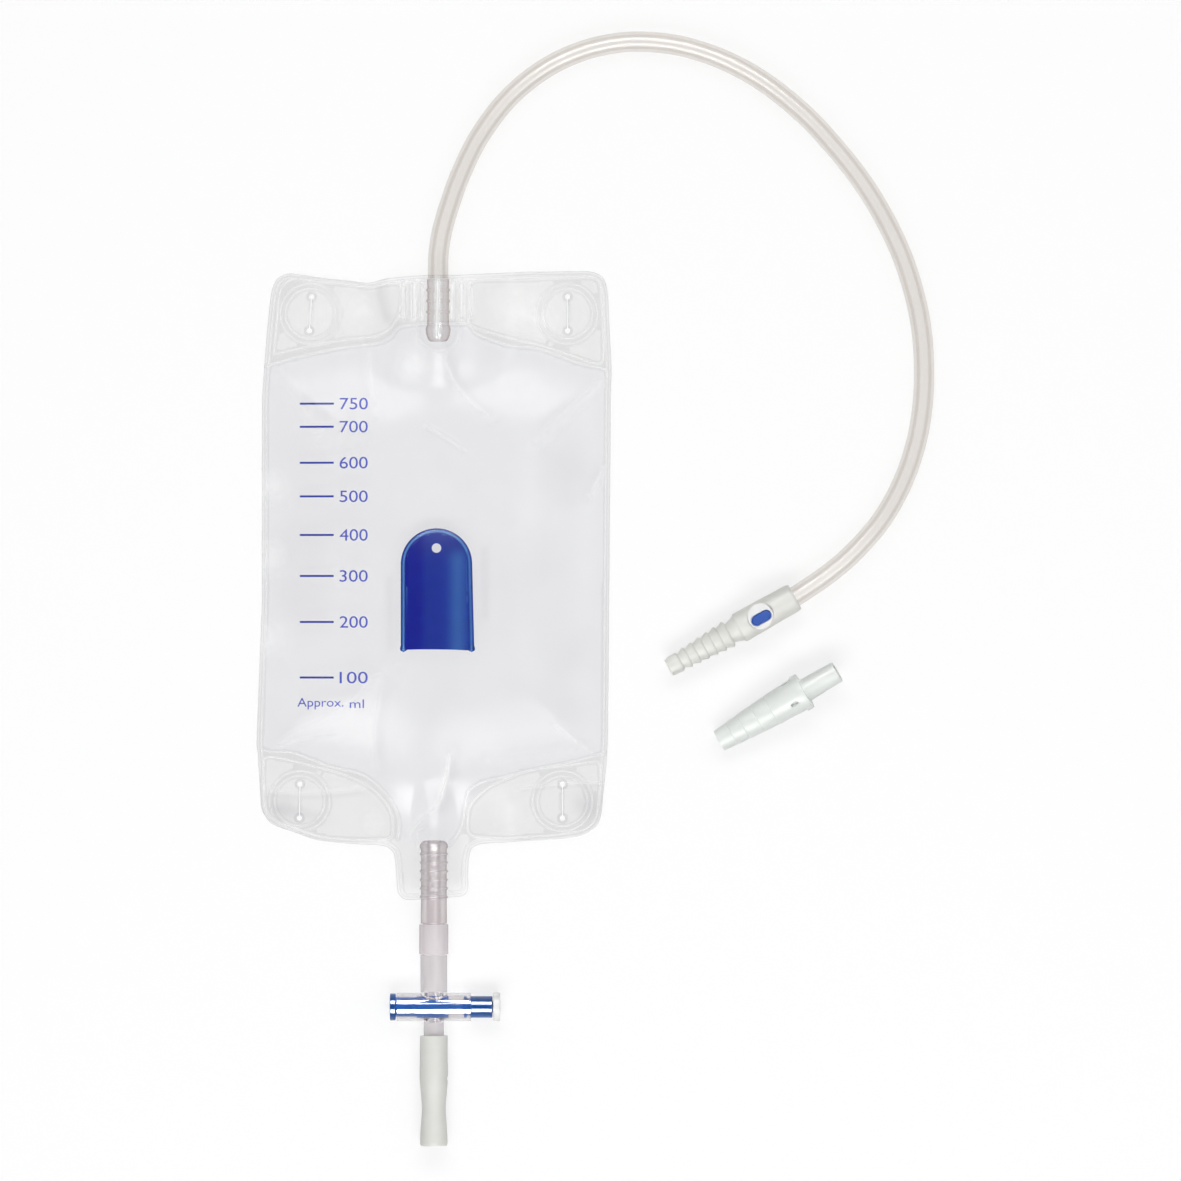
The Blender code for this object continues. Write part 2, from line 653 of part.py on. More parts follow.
def make_tap_body(clear_moulding, tap):
    """One clear moulding: a barrel across, a spigot up to the sleeve and a spigot down into the tube."""
    half = BARREL_LENGTH / 2
    body = rod("tap_body", -half, half, BARREL_RADIUS)
    body.data.materials.append(clear_moulding)
    tip = UPPER_SPIGOT_LENGTH + NIPPLE_LENGTH
    joined = [
        rod("upper_spigot", 0.0, UPPER_SPIGOT_LENGTH, UPPER_SPIGOT_RADIUS, along_y=True),
        rod("upper_nipple", BARREL_WALL, tip, NIPPLE_RADIUS, along_y=True),
        rod("lower_spigot", -LOWER_SPIGOT_LENGTH, 0.0, LOWER_SPIGOT_RADIUS, along_y=True),
    ]
    cuts = [
        rod("barrel_bore", -half - CUT_PAST, half + CUT_PAST, BARREL_RADIUS - BARREL_WALL),
        rod("flow_bore", -LOWER_SPIGOT_LENGTH - CUT_PAST, tip + CUT_PAST, FLOW_BORE_RADIUS, along_y=True),
    ]
    for other in joined:
        boolean(body, other, "UNION")
    for other in cuts:
        boolean(body, other, "DIFFERENCE")
    for obj in [body, *joined, *cuts]:
        obj.parent = tap
    return body


def make_plunger(blue, white, tap):
    """The sliding plunger with its left cap, and the push button pressed onto its right end."""
    slide = empty("plunger_slide", (0, 0, 0))
    slide.parent = tap
    barrel_end = BARREL_LENGTH / 2
    cap_right = -barrel_end - SEAT
    button_left = barrel_end + SEAT + PLUNGER_TRAVEL
    waist_end = LAND_RIGHT + WAIST_WIDTH
    seal_end = waist_end + SEAL_WIDTH
    pin_end = button_left + BUTTON_PIN_LENGTH
    profile = [
        (cap_right - CAP_THICKNESS, 0.0),
        (cap_right - CAP_THICKNESS, CAP_RADIUS - EDGE),
        (cap_right - CAP_THICKNESS + EDGE, CAP_RADIUS),
        (cap_right, CAP_RADIUS),
        (cap_right, ROD_RADIUS),
        (LAND_LEFT, ROD_RADIUS),
        (LAND_LEFT, PLUNGER_RADIUS),
        (LAND_RIGHT, PLUNGER_RADIUS),
        (LAND_RIGHT, WAIST_RADIUS),
        (waist_end, WAIST_RADIUS),
        (waist_end, PLUNGER_RADIUS),
        (seal_end, PLUNGER_RADIUS),
        (seal_end, SEAL_GROOVE_RADIUS),
        (seal_end + SEAL_WIDTH, SEAL_GROOVE_RADIUS),
        (seal_end + SEAL_WIDTH, PLUNGER_RADIUS),
        (button_left - SEAT, PLUNGER_RADIUS),
        (button_left - SEAT, BUTTON_PIN_RADIUS),
        (pin_end, BUTTON_PIN_RADIUS),
        (pin_end, 0.0),
    ]
    turned("tap_plunger", profile, blue, parent=slide)
    socket = BUTTON_PIN_RADIUS + SEAT
    cover = [
        (pin_end + SEAT, 0.0),
        (pin_end + SEAT, socket),
        (button_left, socket),
        (button_left, BUTTON_RADIUS),
        (button_left + BUTTON_THICKNESS - EDGE, BUTTON_RADIUS),
        (button_left + BUTTON_THICKNESS, BUTTON_RADIUS - EDGE),
        (button_left + BUTTON_THICKNESS, 0.0),
    ]
    turned("push_button", cover, white, parent=slide)


def make_outlet_tube(milky, tap):
    """A short soft tube on the lower spigot: it bulges a little, draws in and opens at its mouth."""
    stations = 12
    outer, inner = [], []
    for k in range(stations + 1):
        along = OUTLET_TUBE_LENGTH * k / stations
        from_waist = (along - OUTLET_TUBE_WAIST_AT) / OUTLET_TUBE_WAIST_SPREAD
        from_bulge = (along - OUTLET_TUBE_BULGE_AT) / OUTLET_TUBE_BULGE_SPREAD
        bulge = OUTLET_TUBE_BULGE * math.exp(-from_bulge ** 2)
        change = bulge - OUTLET_TUBE_WAIST * math.exp(-from_waist ** 2)
        outer.append((along, OUTLET_TUBE_RADIUS + change))
        inner.append((along, OUTLET_TUBE_BORE + change))
    profile = outer + inner[::-1]
    turned("outlet_tube", profile, milky, parent=tap, location=(0, -OUTLET_TUBE_START, 0), turn=-math.pi / 2)


# The inlet tube and its connector

def smooth_route(route, every):
    """Evenly spaced points on a smooth curve through the route's points."""
    points = np.array(route)
    ends = np.vstack([2 * points[0] - points[1], points, 2 * points[-1] - points[-2]])
    fine = []
    for a, b, c, d in zip(ends, ends[1:], ends[2:], ends[3:]):
        for t in np.linspace(0, 1, 12, endpoint=False):
            square = (2 * a - 5 * b + 4 * c - d) * t ** 2
            cube = (3 * b - a - 3 * c + d) * t ** 3
            fine.append(0.5 * (2 * b + (c - a) * t + square + cube))
    fine = np.array(fine + [points[-1]])
    lengths = np.r_[0, np.cumsum(np.linalg.norm(np.diff(fine, axis=0), axis=1))]
    count = max(2, round(lengths[-1] / every) + 1)
    places = np.linspace(0, lengths[-1], count)
    return np.column_stack([np.interp(places, lengths, fine[:, k]) for k in range(3)])


def connector_point(along):
    """A point on the connector's axis, `along` metres from its tip."""
    x, y = CONNECTOR_TIP
    return (x + along * math.cos(CONNECTOR_TURN), y + along * math.sin(CONNECTOR_TURN), CONNECTOR_Z)


def make_inlet_tube(clear_tube):
    """The soft tube from the inlet port, over the floor in one loose loop and into the connector's socket."""
    port_face = INLET_OUTER_Y + SEAT
    leaves_bag = (INLET_X, port_face + TUBE_LEAD, INLET_Z)
    enters_socket = connector_point(CONNECTOR_LENGTH + TUBE_LEAD / 4)
    socket_floor = connector_point(CONNECTOR_LENGTH - SOCKET_DEPTH + SEAT)
    loop = smooth_route([leaves_bag, *INLET_ROUTE, enters_socket], TUBE_POINT_EVERY)
    points = [(INLET_X, port_face, INLET_Z), *loop, socket_floor]
    data = bpy.data.curves.new("inlet_tube", "CURVE")
    data.dimensions = "3D"
    data.bevel_depth = TUBE_RADIUS
    data.bevel_resolution = 3
    data.use_fill_caps = True
    spline = data.splines.new("POLY")
    spline.points.add(len(points) - 1)
    for point, place in zip(spline.points, points):
        point.co = (*place, 1.0)
    data.materials.append(clear_tube)
    obj = bpy.data.objects.new("inlet_tube", data)
    bpy.context.scene.collection.objects.link(obj)


def connector_profile():
    """The outside from the tip over the barbs to the rear, then the socket and the bore back to the tip."""
    outside = [(0.0, CONNECTOR_TIP_RADIUS - EDGE), (EDGE, CONNECTOR_TIP_RADIUS)]
    for k in range(BARB_COUNT):
        at = BARB_START + BARB_PITCH * k
        crest = mix(BARB_FIRST_RADIUS, BARB_LAST_RADIUS, k / (BARB_COUNT - 1))
        outside += [(at, crest), (at + BARB_FACE, crest - BARB_DROP)]
    last = BARB_START + BARB_PITCH * (BARB_COUNT - 1)
    outside += [
        (last + CONNECTOR_NECK_AT, CONNECTOR_NECK_RADIUS),
        (CONNECTOR_SHOULDER - CONNECTOR_SHOULDER_EDGE, CONNECTOR_BODY_RADIUS - CONNECTOR_SHOULDER_EDGE),
        (CONNECTOR_SHOULDER, CONNECTOR_BODY_RADIUS),
        (CONNECTOR_LENGTH - CONNECTOR_ROUND, CONNECTOR_REAR_RADIUS),
        (CONNECTOR_LENGTH, CONNECTOR_REAR_RADIUS - CONNECTOR_ROUND / 2),
    ]
    socket_floor = CONNECTOR_LENGTH - SOCKET_DEPTH
    inside = [
        (CONNECTOR_LENGTH, SOCKET_RADIUS),
        (socket_floor, SOCKET_RADIUS),
        (socket_floor, CONNECTOR_BORE_RADIUS),
        (0.0, CONNECTOR_BORE_RADIUS),
    ]
    return outside + inside


def make_connector(pale, white, blue):
    """The barbed body, with the round sampling port that stands out of its side and faces up."""
    frame = empty("connector_frame", (*CONNECTOR_TIP, CONNECTOR_Z), CONNECTOR_TURN)
    body = turned("connector_body", connector_profile(), pale, parent=frame)
    seat_height = CONNECTOR_BODY_RADIUS - COLLAR_DEPTH
    top = CONNECTOR_BODY_RADIUS + COLLAR_PROUD
    pocket = turned_disc("collar_pocket", seat_height, top + CUT_PAST, COLLAR_RADIUS + SEAT, frame)
    boolean(body, pocket, "DIFFERENCE")
    collar = turned_disc("sample_port_collar", seat_height + SEAT, top, COLLAR_RADIUS, frame, white)
    septum_low = top - SEPTUM_DEPTH
    well_outline = stadium(SEPTUM_LENGTH + 2 * SEAT, SEPTUM_WIDTH + 2 * SEAT)
    well = extruded("septum_well", [well_outline], septum_low, top + SEPTUM_DEPTH)
    well.parent = frame
    well.location = (SAMPLE_PORT_AT, 0, 0)
    boolean(collar, well, "DIFFERENCE")
    high = top + SEPTUM_PROUD
    septum_outline = stadium(SEPTUM_LENGTH, SEPTUM_WIDTH)
    septum = extruded("sample_port_septum", [septum_outline], septum_low + SEAT, high, blue)
    septum.parent = frame
    septum.location = (SAMPLE_PORT_AT, 0, 0)


def turned_disc(name, low, high, radius, frame, material=None):
    """An upright round disc over the sampling port's middle."""
    obj = turned(name, [(low, 0.0), (low, radius), (high, radius), (high, 0.0)], material, parent=frame)
    obj.location = (SAMPLE_PORT_AT, 0, 0)
    obj.rotation_euler = (0.0, -math.pi / 2, 0.0)
    return obj


# The loose adapter

def adapter_profile():
    """The stepped sleeve, the flange and the plain spigot, then the bore back to the small end."""
    outside = []
    for (start, radius), (end, _) in zip(ADAPTER_STEPS, ADAPTER_STEPS[1:]):
        next_radius = dict(ADAPTER_STEPS)[end]
        outside += [(start, radius), (end, next_radius - ADAPTER_STEP_RISE)]
    last_at, last_radius = ADAPTER_STEPS[-1]
    flange_end = ADAPTER_FLANGE_AT + ADAPTER_FLANGE_THICKNESS
    outside += [
        (last_at, last_radius),
        (ADAPTER_FLANGE_AT, ADAPTER_CONE_RADIUS),
        (ADAPTER_FLANGE_AT, ADAPTER_FLANGE_RADIUS),
        (flange_end, ADAPTER_FLANGE_RADIUS),
        (flange_end, ADAPTER_SPIGOT_RADIUS),
        (ADAPTER_LENGTH - EDGE, ADAPTER_SPIGOT_END_RADIUS),
        (ADAPTER_LENGTH, ADAPTER_SPIGOT_END_RADIUS - EDGE),
    ]
    return outside + [(ADAPTER_LENGTH, ADAPTER_BORE_RADIUS), (0.0, ADAPTER_BORE_RADIUS)]


def make_adapter(white):
    """It lies on its flange and its small end, so its axis slopes down towards the small end."""
    small_radius = ADAPTER_STEPS[0][1]
    slope = math.atan2(ADAPTER_FLANGE_RADIUS - small_radius, ADAPTER_FLANGE_AT)
    height = small_radius / math.cos(slope) + OFF_FLOOR
    frame = empty("adapter_frame", (*ADAPTER_SMALL_END, height), ADAPTER_TURN, slope)
    body = turned("spare_adapter", adapter_profile(), white, parent=frame)
    outline = [(x + ADAPTER_WINDOW_AT, y) for x, y in stadium(ADAPTER_WINDOW_LENGTH, ADAPTER_WINDOW_WIDTH)]
    floor = ADAPTER_CONE_RADIUS - ADAPTER_WINDOW_DEPTH
    for k in range(ADAPTER_WINDOW_COUNT):
        window = extruded(f"adapter_window_{k + 1}", [outline], floor, ADAPTER_FLANGE_RADIUS)
        window.parent = frame
        window.rotation_euler = (ADAPTER_WINDOW_TURN + math.tau * k / ADAPTER_WINDOW_COUNT, 0.0, 0.0)
        boolean(body, window, "DIFFERENCE")


# Everything

def main():
    for obj in list(bpy.data.objects):
        bpy.data.objects.remove(obj, do_unlink=True)
    clear_film = plastic("clear_film", "#E9E9ED", 0.35, alpha=0.45)
    clear_tube = plastic("clear_tube", "#E1DAD8", 0.20, alpha=0.6)
    clear_moulding = plastic("clear_moulding", "#C9C4C8", 0.20, alpha=0.6)
    milky = plastic("milky_tube", "#E2E3DC", 0.40)
    deep_blue = plastic("deep_blue", "#2B3A9B", 0.30)
    tap_blue = plastic("tap_blue", "#0055A5", 0.25)
    septum_blue = plastic("septum_blue", "#3F5FB5", 0.45)
    white = plastic("white", "#F4F5F4", 0.35)
    pale = plastic("pale_white", "#E4E6E3", 0.45)
    tap = empty("tap_frame", (OUTLET_X, TAP_Y, OUTLET_Z))
    make_films(clear_film)
    make_reflux_valve(deep_blue)
    make_inlet_port(clear_moulding)
    make_outlet_port(clear_moulding)
    make_coupling_sleeve(clear_moulding)
    make_tap_body(clear_moulding, tap)
    make_plunger(tap_blue, white, tap)
    make_outlet_tube(milky, tap)
    make_inlet_tube(clear_tube)
    make_connector(pale, white, septum_blue)
    make_adapter(white)


main()
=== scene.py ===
"""How the urine drainage bag set looks: film, valve, ports, tap, tubes, sampling connector and loose adapter.

Sizes are in millimetres in this file, and new_object() turns them into metres. They are those of the
part's source, and the lines in the film are read from the photograph at 0.42 mm a pixel.
"""

import math

import bmesh
import bpy
import numpy as np
from mathutils import Euler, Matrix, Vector
from mathutils.geometry import delaunay_2d_cdt


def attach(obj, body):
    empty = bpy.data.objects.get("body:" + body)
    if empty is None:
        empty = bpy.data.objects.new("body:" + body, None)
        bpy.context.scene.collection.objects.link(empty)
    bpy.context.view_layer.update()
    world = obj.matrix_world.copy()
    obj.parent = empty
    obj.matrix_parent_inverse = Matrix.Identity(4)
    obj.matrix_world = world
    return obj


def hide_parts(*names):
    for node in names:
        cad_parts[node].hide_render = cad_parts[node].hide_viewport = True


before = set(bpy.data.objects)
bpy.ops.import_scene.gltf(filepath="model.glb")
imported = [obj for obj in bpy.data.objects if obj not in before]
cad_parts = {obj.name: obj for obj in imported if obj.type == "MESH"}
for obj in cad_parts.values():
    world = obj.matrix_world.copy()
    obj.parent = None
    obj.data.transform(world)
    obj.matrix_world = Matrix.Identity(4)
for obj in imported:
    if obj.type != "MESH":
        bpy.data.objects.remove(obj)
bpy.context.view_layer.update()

MM = 0.001
PIXEL = 0.42  # millimetres a pixel of the photograph
PICTURE_MIDDLE = (65.1, -14.1)
PICTURE_SIDE = 1181 * PIXEL

# Films and chamber
SEAT = 0.3  # the gap left between two pieces that touch
FILM = 0.35
FILM_CORNER = 4.0
WELD_Z = FILM + SEAT / 2  # the plane between the two films
CHAMBER_HEIGHT = 6.0
CHAMBER_ROLL = 42.0  # how far in from a weld the front film reaches that height
WRAP_FOOT = 3.0  # how far beside a port the film comes down to the weld plane
WRAP_LEAVE = math.radians(22)  # how steeply it comes down there
WRAP_LEAD = 1.0  # how far past a port's inner end its shape starts to fade out of the film
WRAP_FADE = 34.0  # and over how far it fades
TENT = 26.0  # over how far beside a port the weld plane sinks back from the port's axis

# Ports, sleeve and tap
INLET_X, INLET_Z = 1.2, 5.85
INLET_OUTER_Y, INLET_INNER_Y = 116.5, 90.3
INLET_FLARE_RADIUS = 5.2
OUTLET_X, OUTLET_Z = -0.6, 6.65
OUTLET_INNER_Y = -119.0
OUTLET_FLARE_RADIUS = 6.0
SLEEVE_TOP_Y = -154.0
TAP_Y = -188.7
BARREL_RADIUS = 5.9
BARREL_LENGTH = 31.2
BARREL_WALL = 1.0
PLUNGER_RADIUS = 4.6
PLUNGER_TRAVEL = 9.0
FLOW_BORE_RADIUS = 2.8

# The inlet tube's route over the floor, and the connector on its far end
TUBE_RADIUS = 4.3
TUBE_BORE_RADIUS = 3.0
TUBE_REST = 4.4  # the height of its axis where it lies on the floor
ROUTE_ON_FLOOR = [
    (10.7, 160.7), (18.6, 176.6), (30.6, 192.4), (45.4, 204.5), (61.2, 212.1), (77.0, 215.7),
    (91.6, 215.9), (106.1, 213.6), (122.1, 208.0), (138.0, 199.1), (153.9, 186.4), (166.2, 173.5),
    (177.7, 159.2), (186.9, 144.7), (194.9, 128.5), (200.3, 112.6), (203.7, 96.9), (205.0, 81.1),
    (204.5, 64.6), (201.8, 48.2), (196.1, 31.4), (187.5, 15.9),
]
INLET_ROUTE = [
    (1.4, 127.5, 5.8), (2.7, 136.0, 5.3), (5.6, 146.5, 4.7),
    *((x, y, TUBE_REST) for x, y in ROUTE_ON_FLOOR),
    (176.5, 3.0, 5.0), (165.5, -6.7, 6.0),
]
CONNECTOR_TIP = (97.8, -46.5, 6.6)
CONNECTOR_TURN = math.radians(29.4)
CONNECTOR_LENGTH = 60.7
SAMPLE_PORT_AT = 44.1  # from the connector's tip
SOCKET_DEPTH = 9.0

# The loose adapter
ADAPTER_SMALL_END = (119.0, -77.2)
ADAPTER_TURN = math.radians(30.5)
ADAPTER_SMALL_RADIUS = 4.7
ADAPTER_FLANGE_RADIUS = 8.1
ADAPTER_FLANGE_AT = 38.8

# The cut edge of the films, from the top left corner round to the right
FILM_OUTLINE = [
    (-69.1, 111.3), (-67.2, 116.6), (-62.4, 119.4), (-56.5, 118.6), (-46.0, 116.9), (-37.2, 116.2),
    (-27.5, 114.9), (-21.2, 116.9), (-7.4, 118.1), (6.5, 118.1), (21.2, 118.9), (35.9, 119.7), (65.3, 120.1),
    (70.8, 117.8), (72.5, 111.5), (73.1, 97.0), (74.0, 79.0), (73.7, 66.8), (72.5, -76.9), (71.6, -90.7),
    (70.4, -100.0), (69.9, -107.5), (68.4, -112.4), (63.6, -116.3), (56.9, -118.0), (46.4, -118.9),
    (32.6, -119.7), (18.7, -120.4), (14.9, -122.2), (13.7, -130.0), (14.0, -139.5), (12.0, -142.4),
    (4.4, -142.8), (-8.2, -143.9), (-13.2, -143.9), (-15.9, -141.1), (-16.8, -128.3), (-17.5, -123.8),
    (-20.4, -121.5), (-24.2, -121.0), (-37.2, -120.5), (-48.1, -119.3), (-53.1, -118.0), (-59.4, -115.5),
    (-66.2, -113.4), (-69.8, -111.6), (-73.2, -106.3), (-74.6, -83.2), (-75.2, -79.0), (-72.9, -18.1),
    (-72.9, 65.9), (-71.8, 81.9), (-70.8, 94.7),
]

# The chamber's edge, where the two films are welded together
TOP_WELD_LINE = [
    (-71.2, 80.2), (-67.8, 81.1), (-62.4, 82.7), (-51.7, 85.3), (-38.3, 88.0), (-25.0, 89.6),
    (-19.1, 91.8), (-15.3, 96.2), (-8.9, 97.4), (-4.0, 97.7), (6.3, 97.7), (11.6, 97.7), (14.9, 97.0),
    (17.6, 93.4), (31.0, 88.8), (43.3, 87.5), (59.4, 81.6), (70.6, 78.9), (72.0, 76.4),
]
LEFT_FUNNEL_LINE = [
    (-72.4, -81.0), (-68.7, -81.9), (-59.4, -82.5), (-44.1, -88.1), (-31.7, -91.1), (-24.3, -96.1),
    (-18.8, -102.2), (-16.3, -107.1), (-15.1, -112.7), (-15.8, -118.2),
]
RIGHT_FUNNEL_LINE = [
    (71.3, -82.3), (64.6, -84.2), (54.9, -86.6), (42.8, -89.0), (28.8, -92.5), (20.2, -94.4),
    (15.4, -97.2), (13.5, -99.7), (12.3, -106.4), (11.5, -111.2), (9.6, -116.0), (5.8, -120.9),
]

# Second weld lines, which bound the four corner panels with the button holes
PANEL_LINES = [
    [
        (-67.8, 85.1), (-52.0, 88.6), (-38.3, 91.2), (-25.0, 92.4), (-19.5, 94.9), (-15.8, 100.0),
        (-14.2, 105.2), (-13.7, 114.2), (-17.0, 115.1), (-22.3, 114.2), (-26.7, 113.0), (-38.3, 114.9),
        (-51.7, 116.3), (-60.8, 116.7), (-64.6, 113.7), (-65.9, 107.8), (-66.7, 97.1), (-67.8, 86.5),
    ],
    [
        (13.9, 114.2), (13.9, 97.7), (16.5, 96.1), (23.5, 93.9), (35.3, 90.7), (44.3, 88.8), (57.8, 84.3),
        (65.3, 81.6), (69.1, 80.9), (70.6, 82.7), (70.4, 95.3), (69.3, 113.2), (68.5, 116.3), (64.9, 117.4),
        (16.6, 116.1),
    ],
    [
        (-72.0, -85.0), (-71.0, -83.9), (-65.6, -84.4), (-53.3, -87.4), (-41.0, -90.5), (-31.7, -94.2),
        (-25.6, -97.9), (-20.6, -103.4), (-18.2, -107.8), (-17.6, -112.1), (-17.9, -118.2), (-28.8, -118.9),
        (-41.0, -118.5), (-48.5, -117.8), (-58.0, -114.6), (-66.0, -111.5), (-70.3, -109.2), (-72.0, -105.5),
        (-72.4, -92.0),
    ],
    [
        (69.0, -85.4), (54.9, -87.9), (45.3, -88.6), (35.6, -90.5), (33.2, -91.9), (23.6, -95.8),
        (18.3, -100.1), (14.9, -104.0), (13.7, -107.4), (13.5, -115.1), (15.9, -117.5), (30.8, -118.2),
        (50.1, -116.8), (62.2, -115.1), (67.0, -111.2), (68.2, -106.4), (69.4, -96.8),
    ],
]
UPRIGHT_WELD_XS = (-13.0, -11.6, -10.2, -6.9, 9.2, 10.7, 12.4)
UPRIGHT_WELD_YS = (98.7, 115.4)

# Button holes: the middle of each, and its lean from upright in degrees
BUTTON_HOLES = [(-52.5, 102.1, 4.0), (55.5, 102.1, 0.0), (-57.0, -102.5, 1.0), (53.3, -102.6, 0.0)]
SLIT_LENGTH = 14.3
SLIT_WIDTH = 0.4
SLIT_END_RADIUS = 1.1
SLIT_RING_RADIUS = 1.9
BUTTON_RING_RADII = (12.6, 10.5)

# Folds and creases in the film, drawn as painted light and painted shade beside them: how wide, the tone to
# the left and to the right of it (painted light, whiter, above 0; painted shade, greyer, below), and the way
# it goes
FOLDS = [
    (3.2, -0.22, -0.04, [(-25.2, 116.0), (-23.2, 105.0), (-19.6, 95.5)]),
    (3.0, 0.16, -0.06, [(-29.5, 88.0), (-28.5, 74.0), (-26.0, 60.0)]),
    (1.5, -0.12, 0.14, [(-7.5, 96.0), (-5.5, 90.0), (0.9, 86.4), (7.5, 89.0), (10.0, 95.5)]),
    (2.5, -0.12, 0.22, [(3.9, 87.5), (7.5, 76.0), (14.8, 66.0), (24.5, 58.6)]),
    (1.3, 0.20, -0.10, [(-5.0, 54.4), (2.9, 50.2), (11.5, 44.6)]),
    (2.6, 0.16, 0.12, [(-65.0, 78.5), (-55.0, 62.5), (-48.5, 50.0)]),
    (3.6, 0.22, -0.03, [(71.0, 76.6), (56.5, 63.6), (42.5, 50.0)]),
    (2.0, 0.18, -0.08, [(70.0, 38.0), (63.7, 25.0)]),
    (5.0, -0.06, 0.16, [
        (-68.0, -80.6), (-60.5, -74.4), (-49.5, -69.0), (-38.0, -62.0), (-28.5, -52.5), (-20.0, -47.0),
    ]),
    (4.2, -0.12, 0.14, [(-22.6, -54.0), (-24.2, -64.0), (-25.6, -75.4), (-24.6, -88.0)]),
    (1.2, 0.20, -0.05, [(-66.0, -80.2), (-54.5, -77.0), (-42.5, -75.2)]),
    (1.4, -0.06, 0.20, [(50.5, -70.0), (57.7, -75.6), (66.2, -81.8)]),
    (3.0, 0.14, 0.08, [(22.0, -85.4), (43.7, -83.6), (63.0, -80.4)]),
    (1.0, 0.32, 0.22, [(5.6, -83.0), (4.4, -93.3), (0.9, -104.3), (-6.6, -110.3), (-11.3, -117.0)]),
    (3.4, -0.16, 0.08, [(6.2, -82.0), (5.4, -93.3), (1.9, -104.3), (-4.6, -109.5)]),
    (0.9, 0.28, -0.10, [(-5.3, -113.8), (-8.3, -116.3), (-7.7, -121.2)]),
    (2.2, 0.20, -0.14, [(-70.5, -98.5), (-58.0, -99.6), (-44.0, -99.2), (-29.0, -97.6)]),
    (2.6, -0.10, -0.14, [(-71.8, -104.0), (-58.5, -106.6), (-46.5, -109.6)]),
    (1.3, 0.24, -0.12, [(34.5, -98.0), (51.7, -95.9), (71.0, -95.2)]),
    (2.4, -0.07, -0.07, [(-19.2, -6.0), (-18.9, -24.0), (-18.4, -41.5)]),
    (2.2, -0.08, -0.08, [(20.6, 6.0), (20.9, -12.0), (20.6, -28.0)]),
    # painted highlights along the inlet port and beside it, where it gleams
    (0.8, 0.70, 0.70, [(1.0, 116.8), (0.9, 105.0), (0.5, 92.0)]),
    (1.1, 0.60, 0.60, [(-13.2, 114.6), (-13.6, 107.0), (-13.9, 100.0)]),
    (1.0, 0.55, 0.55, [(-8.8, 115.0), (-8.9, 107.0), (-9.0, 99.4)]),
    (0.8, 0.50, 0.50, [(-5.6, 115.0), (-5.6, 107.0), (-5.8, 99.4)]),
    (0.8, 0.55, 0.55, [(7.2, 115.4), (7.1, 107.0), (7.0, 99.4)]),
    (1.0, 0.55, 0.55, [(11.0, 115.4), (11.0, 107.0), (11.0, 99.4)]),
    (0.9, 0.35, 0.35, [(14.8, 115.0), (14.8, 107.0), (14.6, 100.0)]),
]

# Painted light (whiter, above 0) and painted shade (greyer, below) in soft patches over the film: the middle,
# the reach and the amount
LIGHT_AND_SHADE_PATCHES = [
    (-31.5, 103.0, 5.0, 0.15), (33.0, 106.0, 9.0, 0.12), (44.0, 100.0, 5.0, 0.12),
    (-62.5, 108.0, 6.0, -0.02), (-8.5, 81.0, 7.0, 0.16), (-48.0, 69.0, 8.0, -0.02),
    (20.0, 78.0, 9.0, -0.02), (38.0, 72.0, 10.0, 0.06), (-60.0, 30.0, 12.0, -0.02),
    (-56.0, 4.0, 15.0, -0.03), (-58.0, -20.0, 14.0, -0.03), (56.0, 34.0, 13.0, -0.03),
    (-70.0, 30.0, 7.0, 0.2), (-70.5, 0.0, 7.0, 0.2), (-70.5, -34.0, 7.0, 0.16), (44.0, -60.0, 15.0, -0.03),
    (-36.0, 50.0, 9.0, 0.12), (34.0, 20.0, 12.0, 0.05), (-34.0, -6.0, 9.0, 0.08), (58.0, -40.0, 10.0, -0.03),
    (46.0, -8.0, 20.0, -0.02), (2.0, 22.0, 14.0, 0.06), (-34.0, -72.0, 9.0, 0.10), (0.0, -66.0, 16.0, -0.02),
    (-46.0, 103.0, 19.0, 0.14), (46.0, 103.0, 19.0, 0.14), (-26.0, -112.0, 4.0, 0.15),
    (64.0, -104.5, 6.0, -0.09), (-64.0, -107.0, 6.0, -0.07), (30.0, -108.0, 7.0, 0.08),
]

# The measuring scale: its lines, each with its number
SCALE_LINE_XS = (-56.9, -42.6)
SCALE_LINES = {
    "750": 64.3, "700": 54.6, "600": 39.5, "500": 25.4, "400": 9.2, "300": -8.0, "200": -27.3, "100": -50.6,
}
SCALE_NUMBER_X = -40.1
SCALE_NUMBER_SIZE = (11.8, 4.9)
SCALE_BAR_HALF = 0.43
SCALE_CAPTION = {"Approx.": (-57.9, 19.4, 4.8), "ml": (-35.9, 6.0, 3.6)}  # left end, width, height
SCALE_CAPTION_Y = -61.6
INK_LIFT = 0.12  # over the film, so that no film shows through the print


# Colours and nodes

SMOOTH = {"interpolation_type": "SMOOTHSTEP"}
COLOURS = {"data_type": "RGBA"}


def linear(hex_colour):
    """An sRGB hex colour as linear red, green, blue and an alpha of 1."""
    channels = [int(hex_colour[i:i + 2], 16) / 255 for i in (1, 3, 5)]
    return [c / 12.92 if c <= 0.04045 else ((c + 0.055) / 1.055) ** 2.4 for c in channels] + [1.0]


def add(tree, kind, inputs=None, **settings):
    """Add a node with its settings. An input is a value, a socket, or a node that gives its first output."""
    node = tree.nodes.new("ShaderNode" + kind)
    for name, value in settings.items():
        setattr(node, name, value)
    for name, value in (inputs or {}).items():
        if isinstance(value, bpy.types.Node):
            value = next(socket for socket in value.outputs if socket.enabled)
        if isinstance(value, bpy.types.NodeSocket):
            tree.links.new(value, node.inputs[name])
        else:
            node.inputs[name].default_value = value
    return node


def new_material(name):
    material = bpy.data.materials.new(name)
    material.use_nodes = True
    material.node_tree.nodes.clear()
    return material, material.node_tree


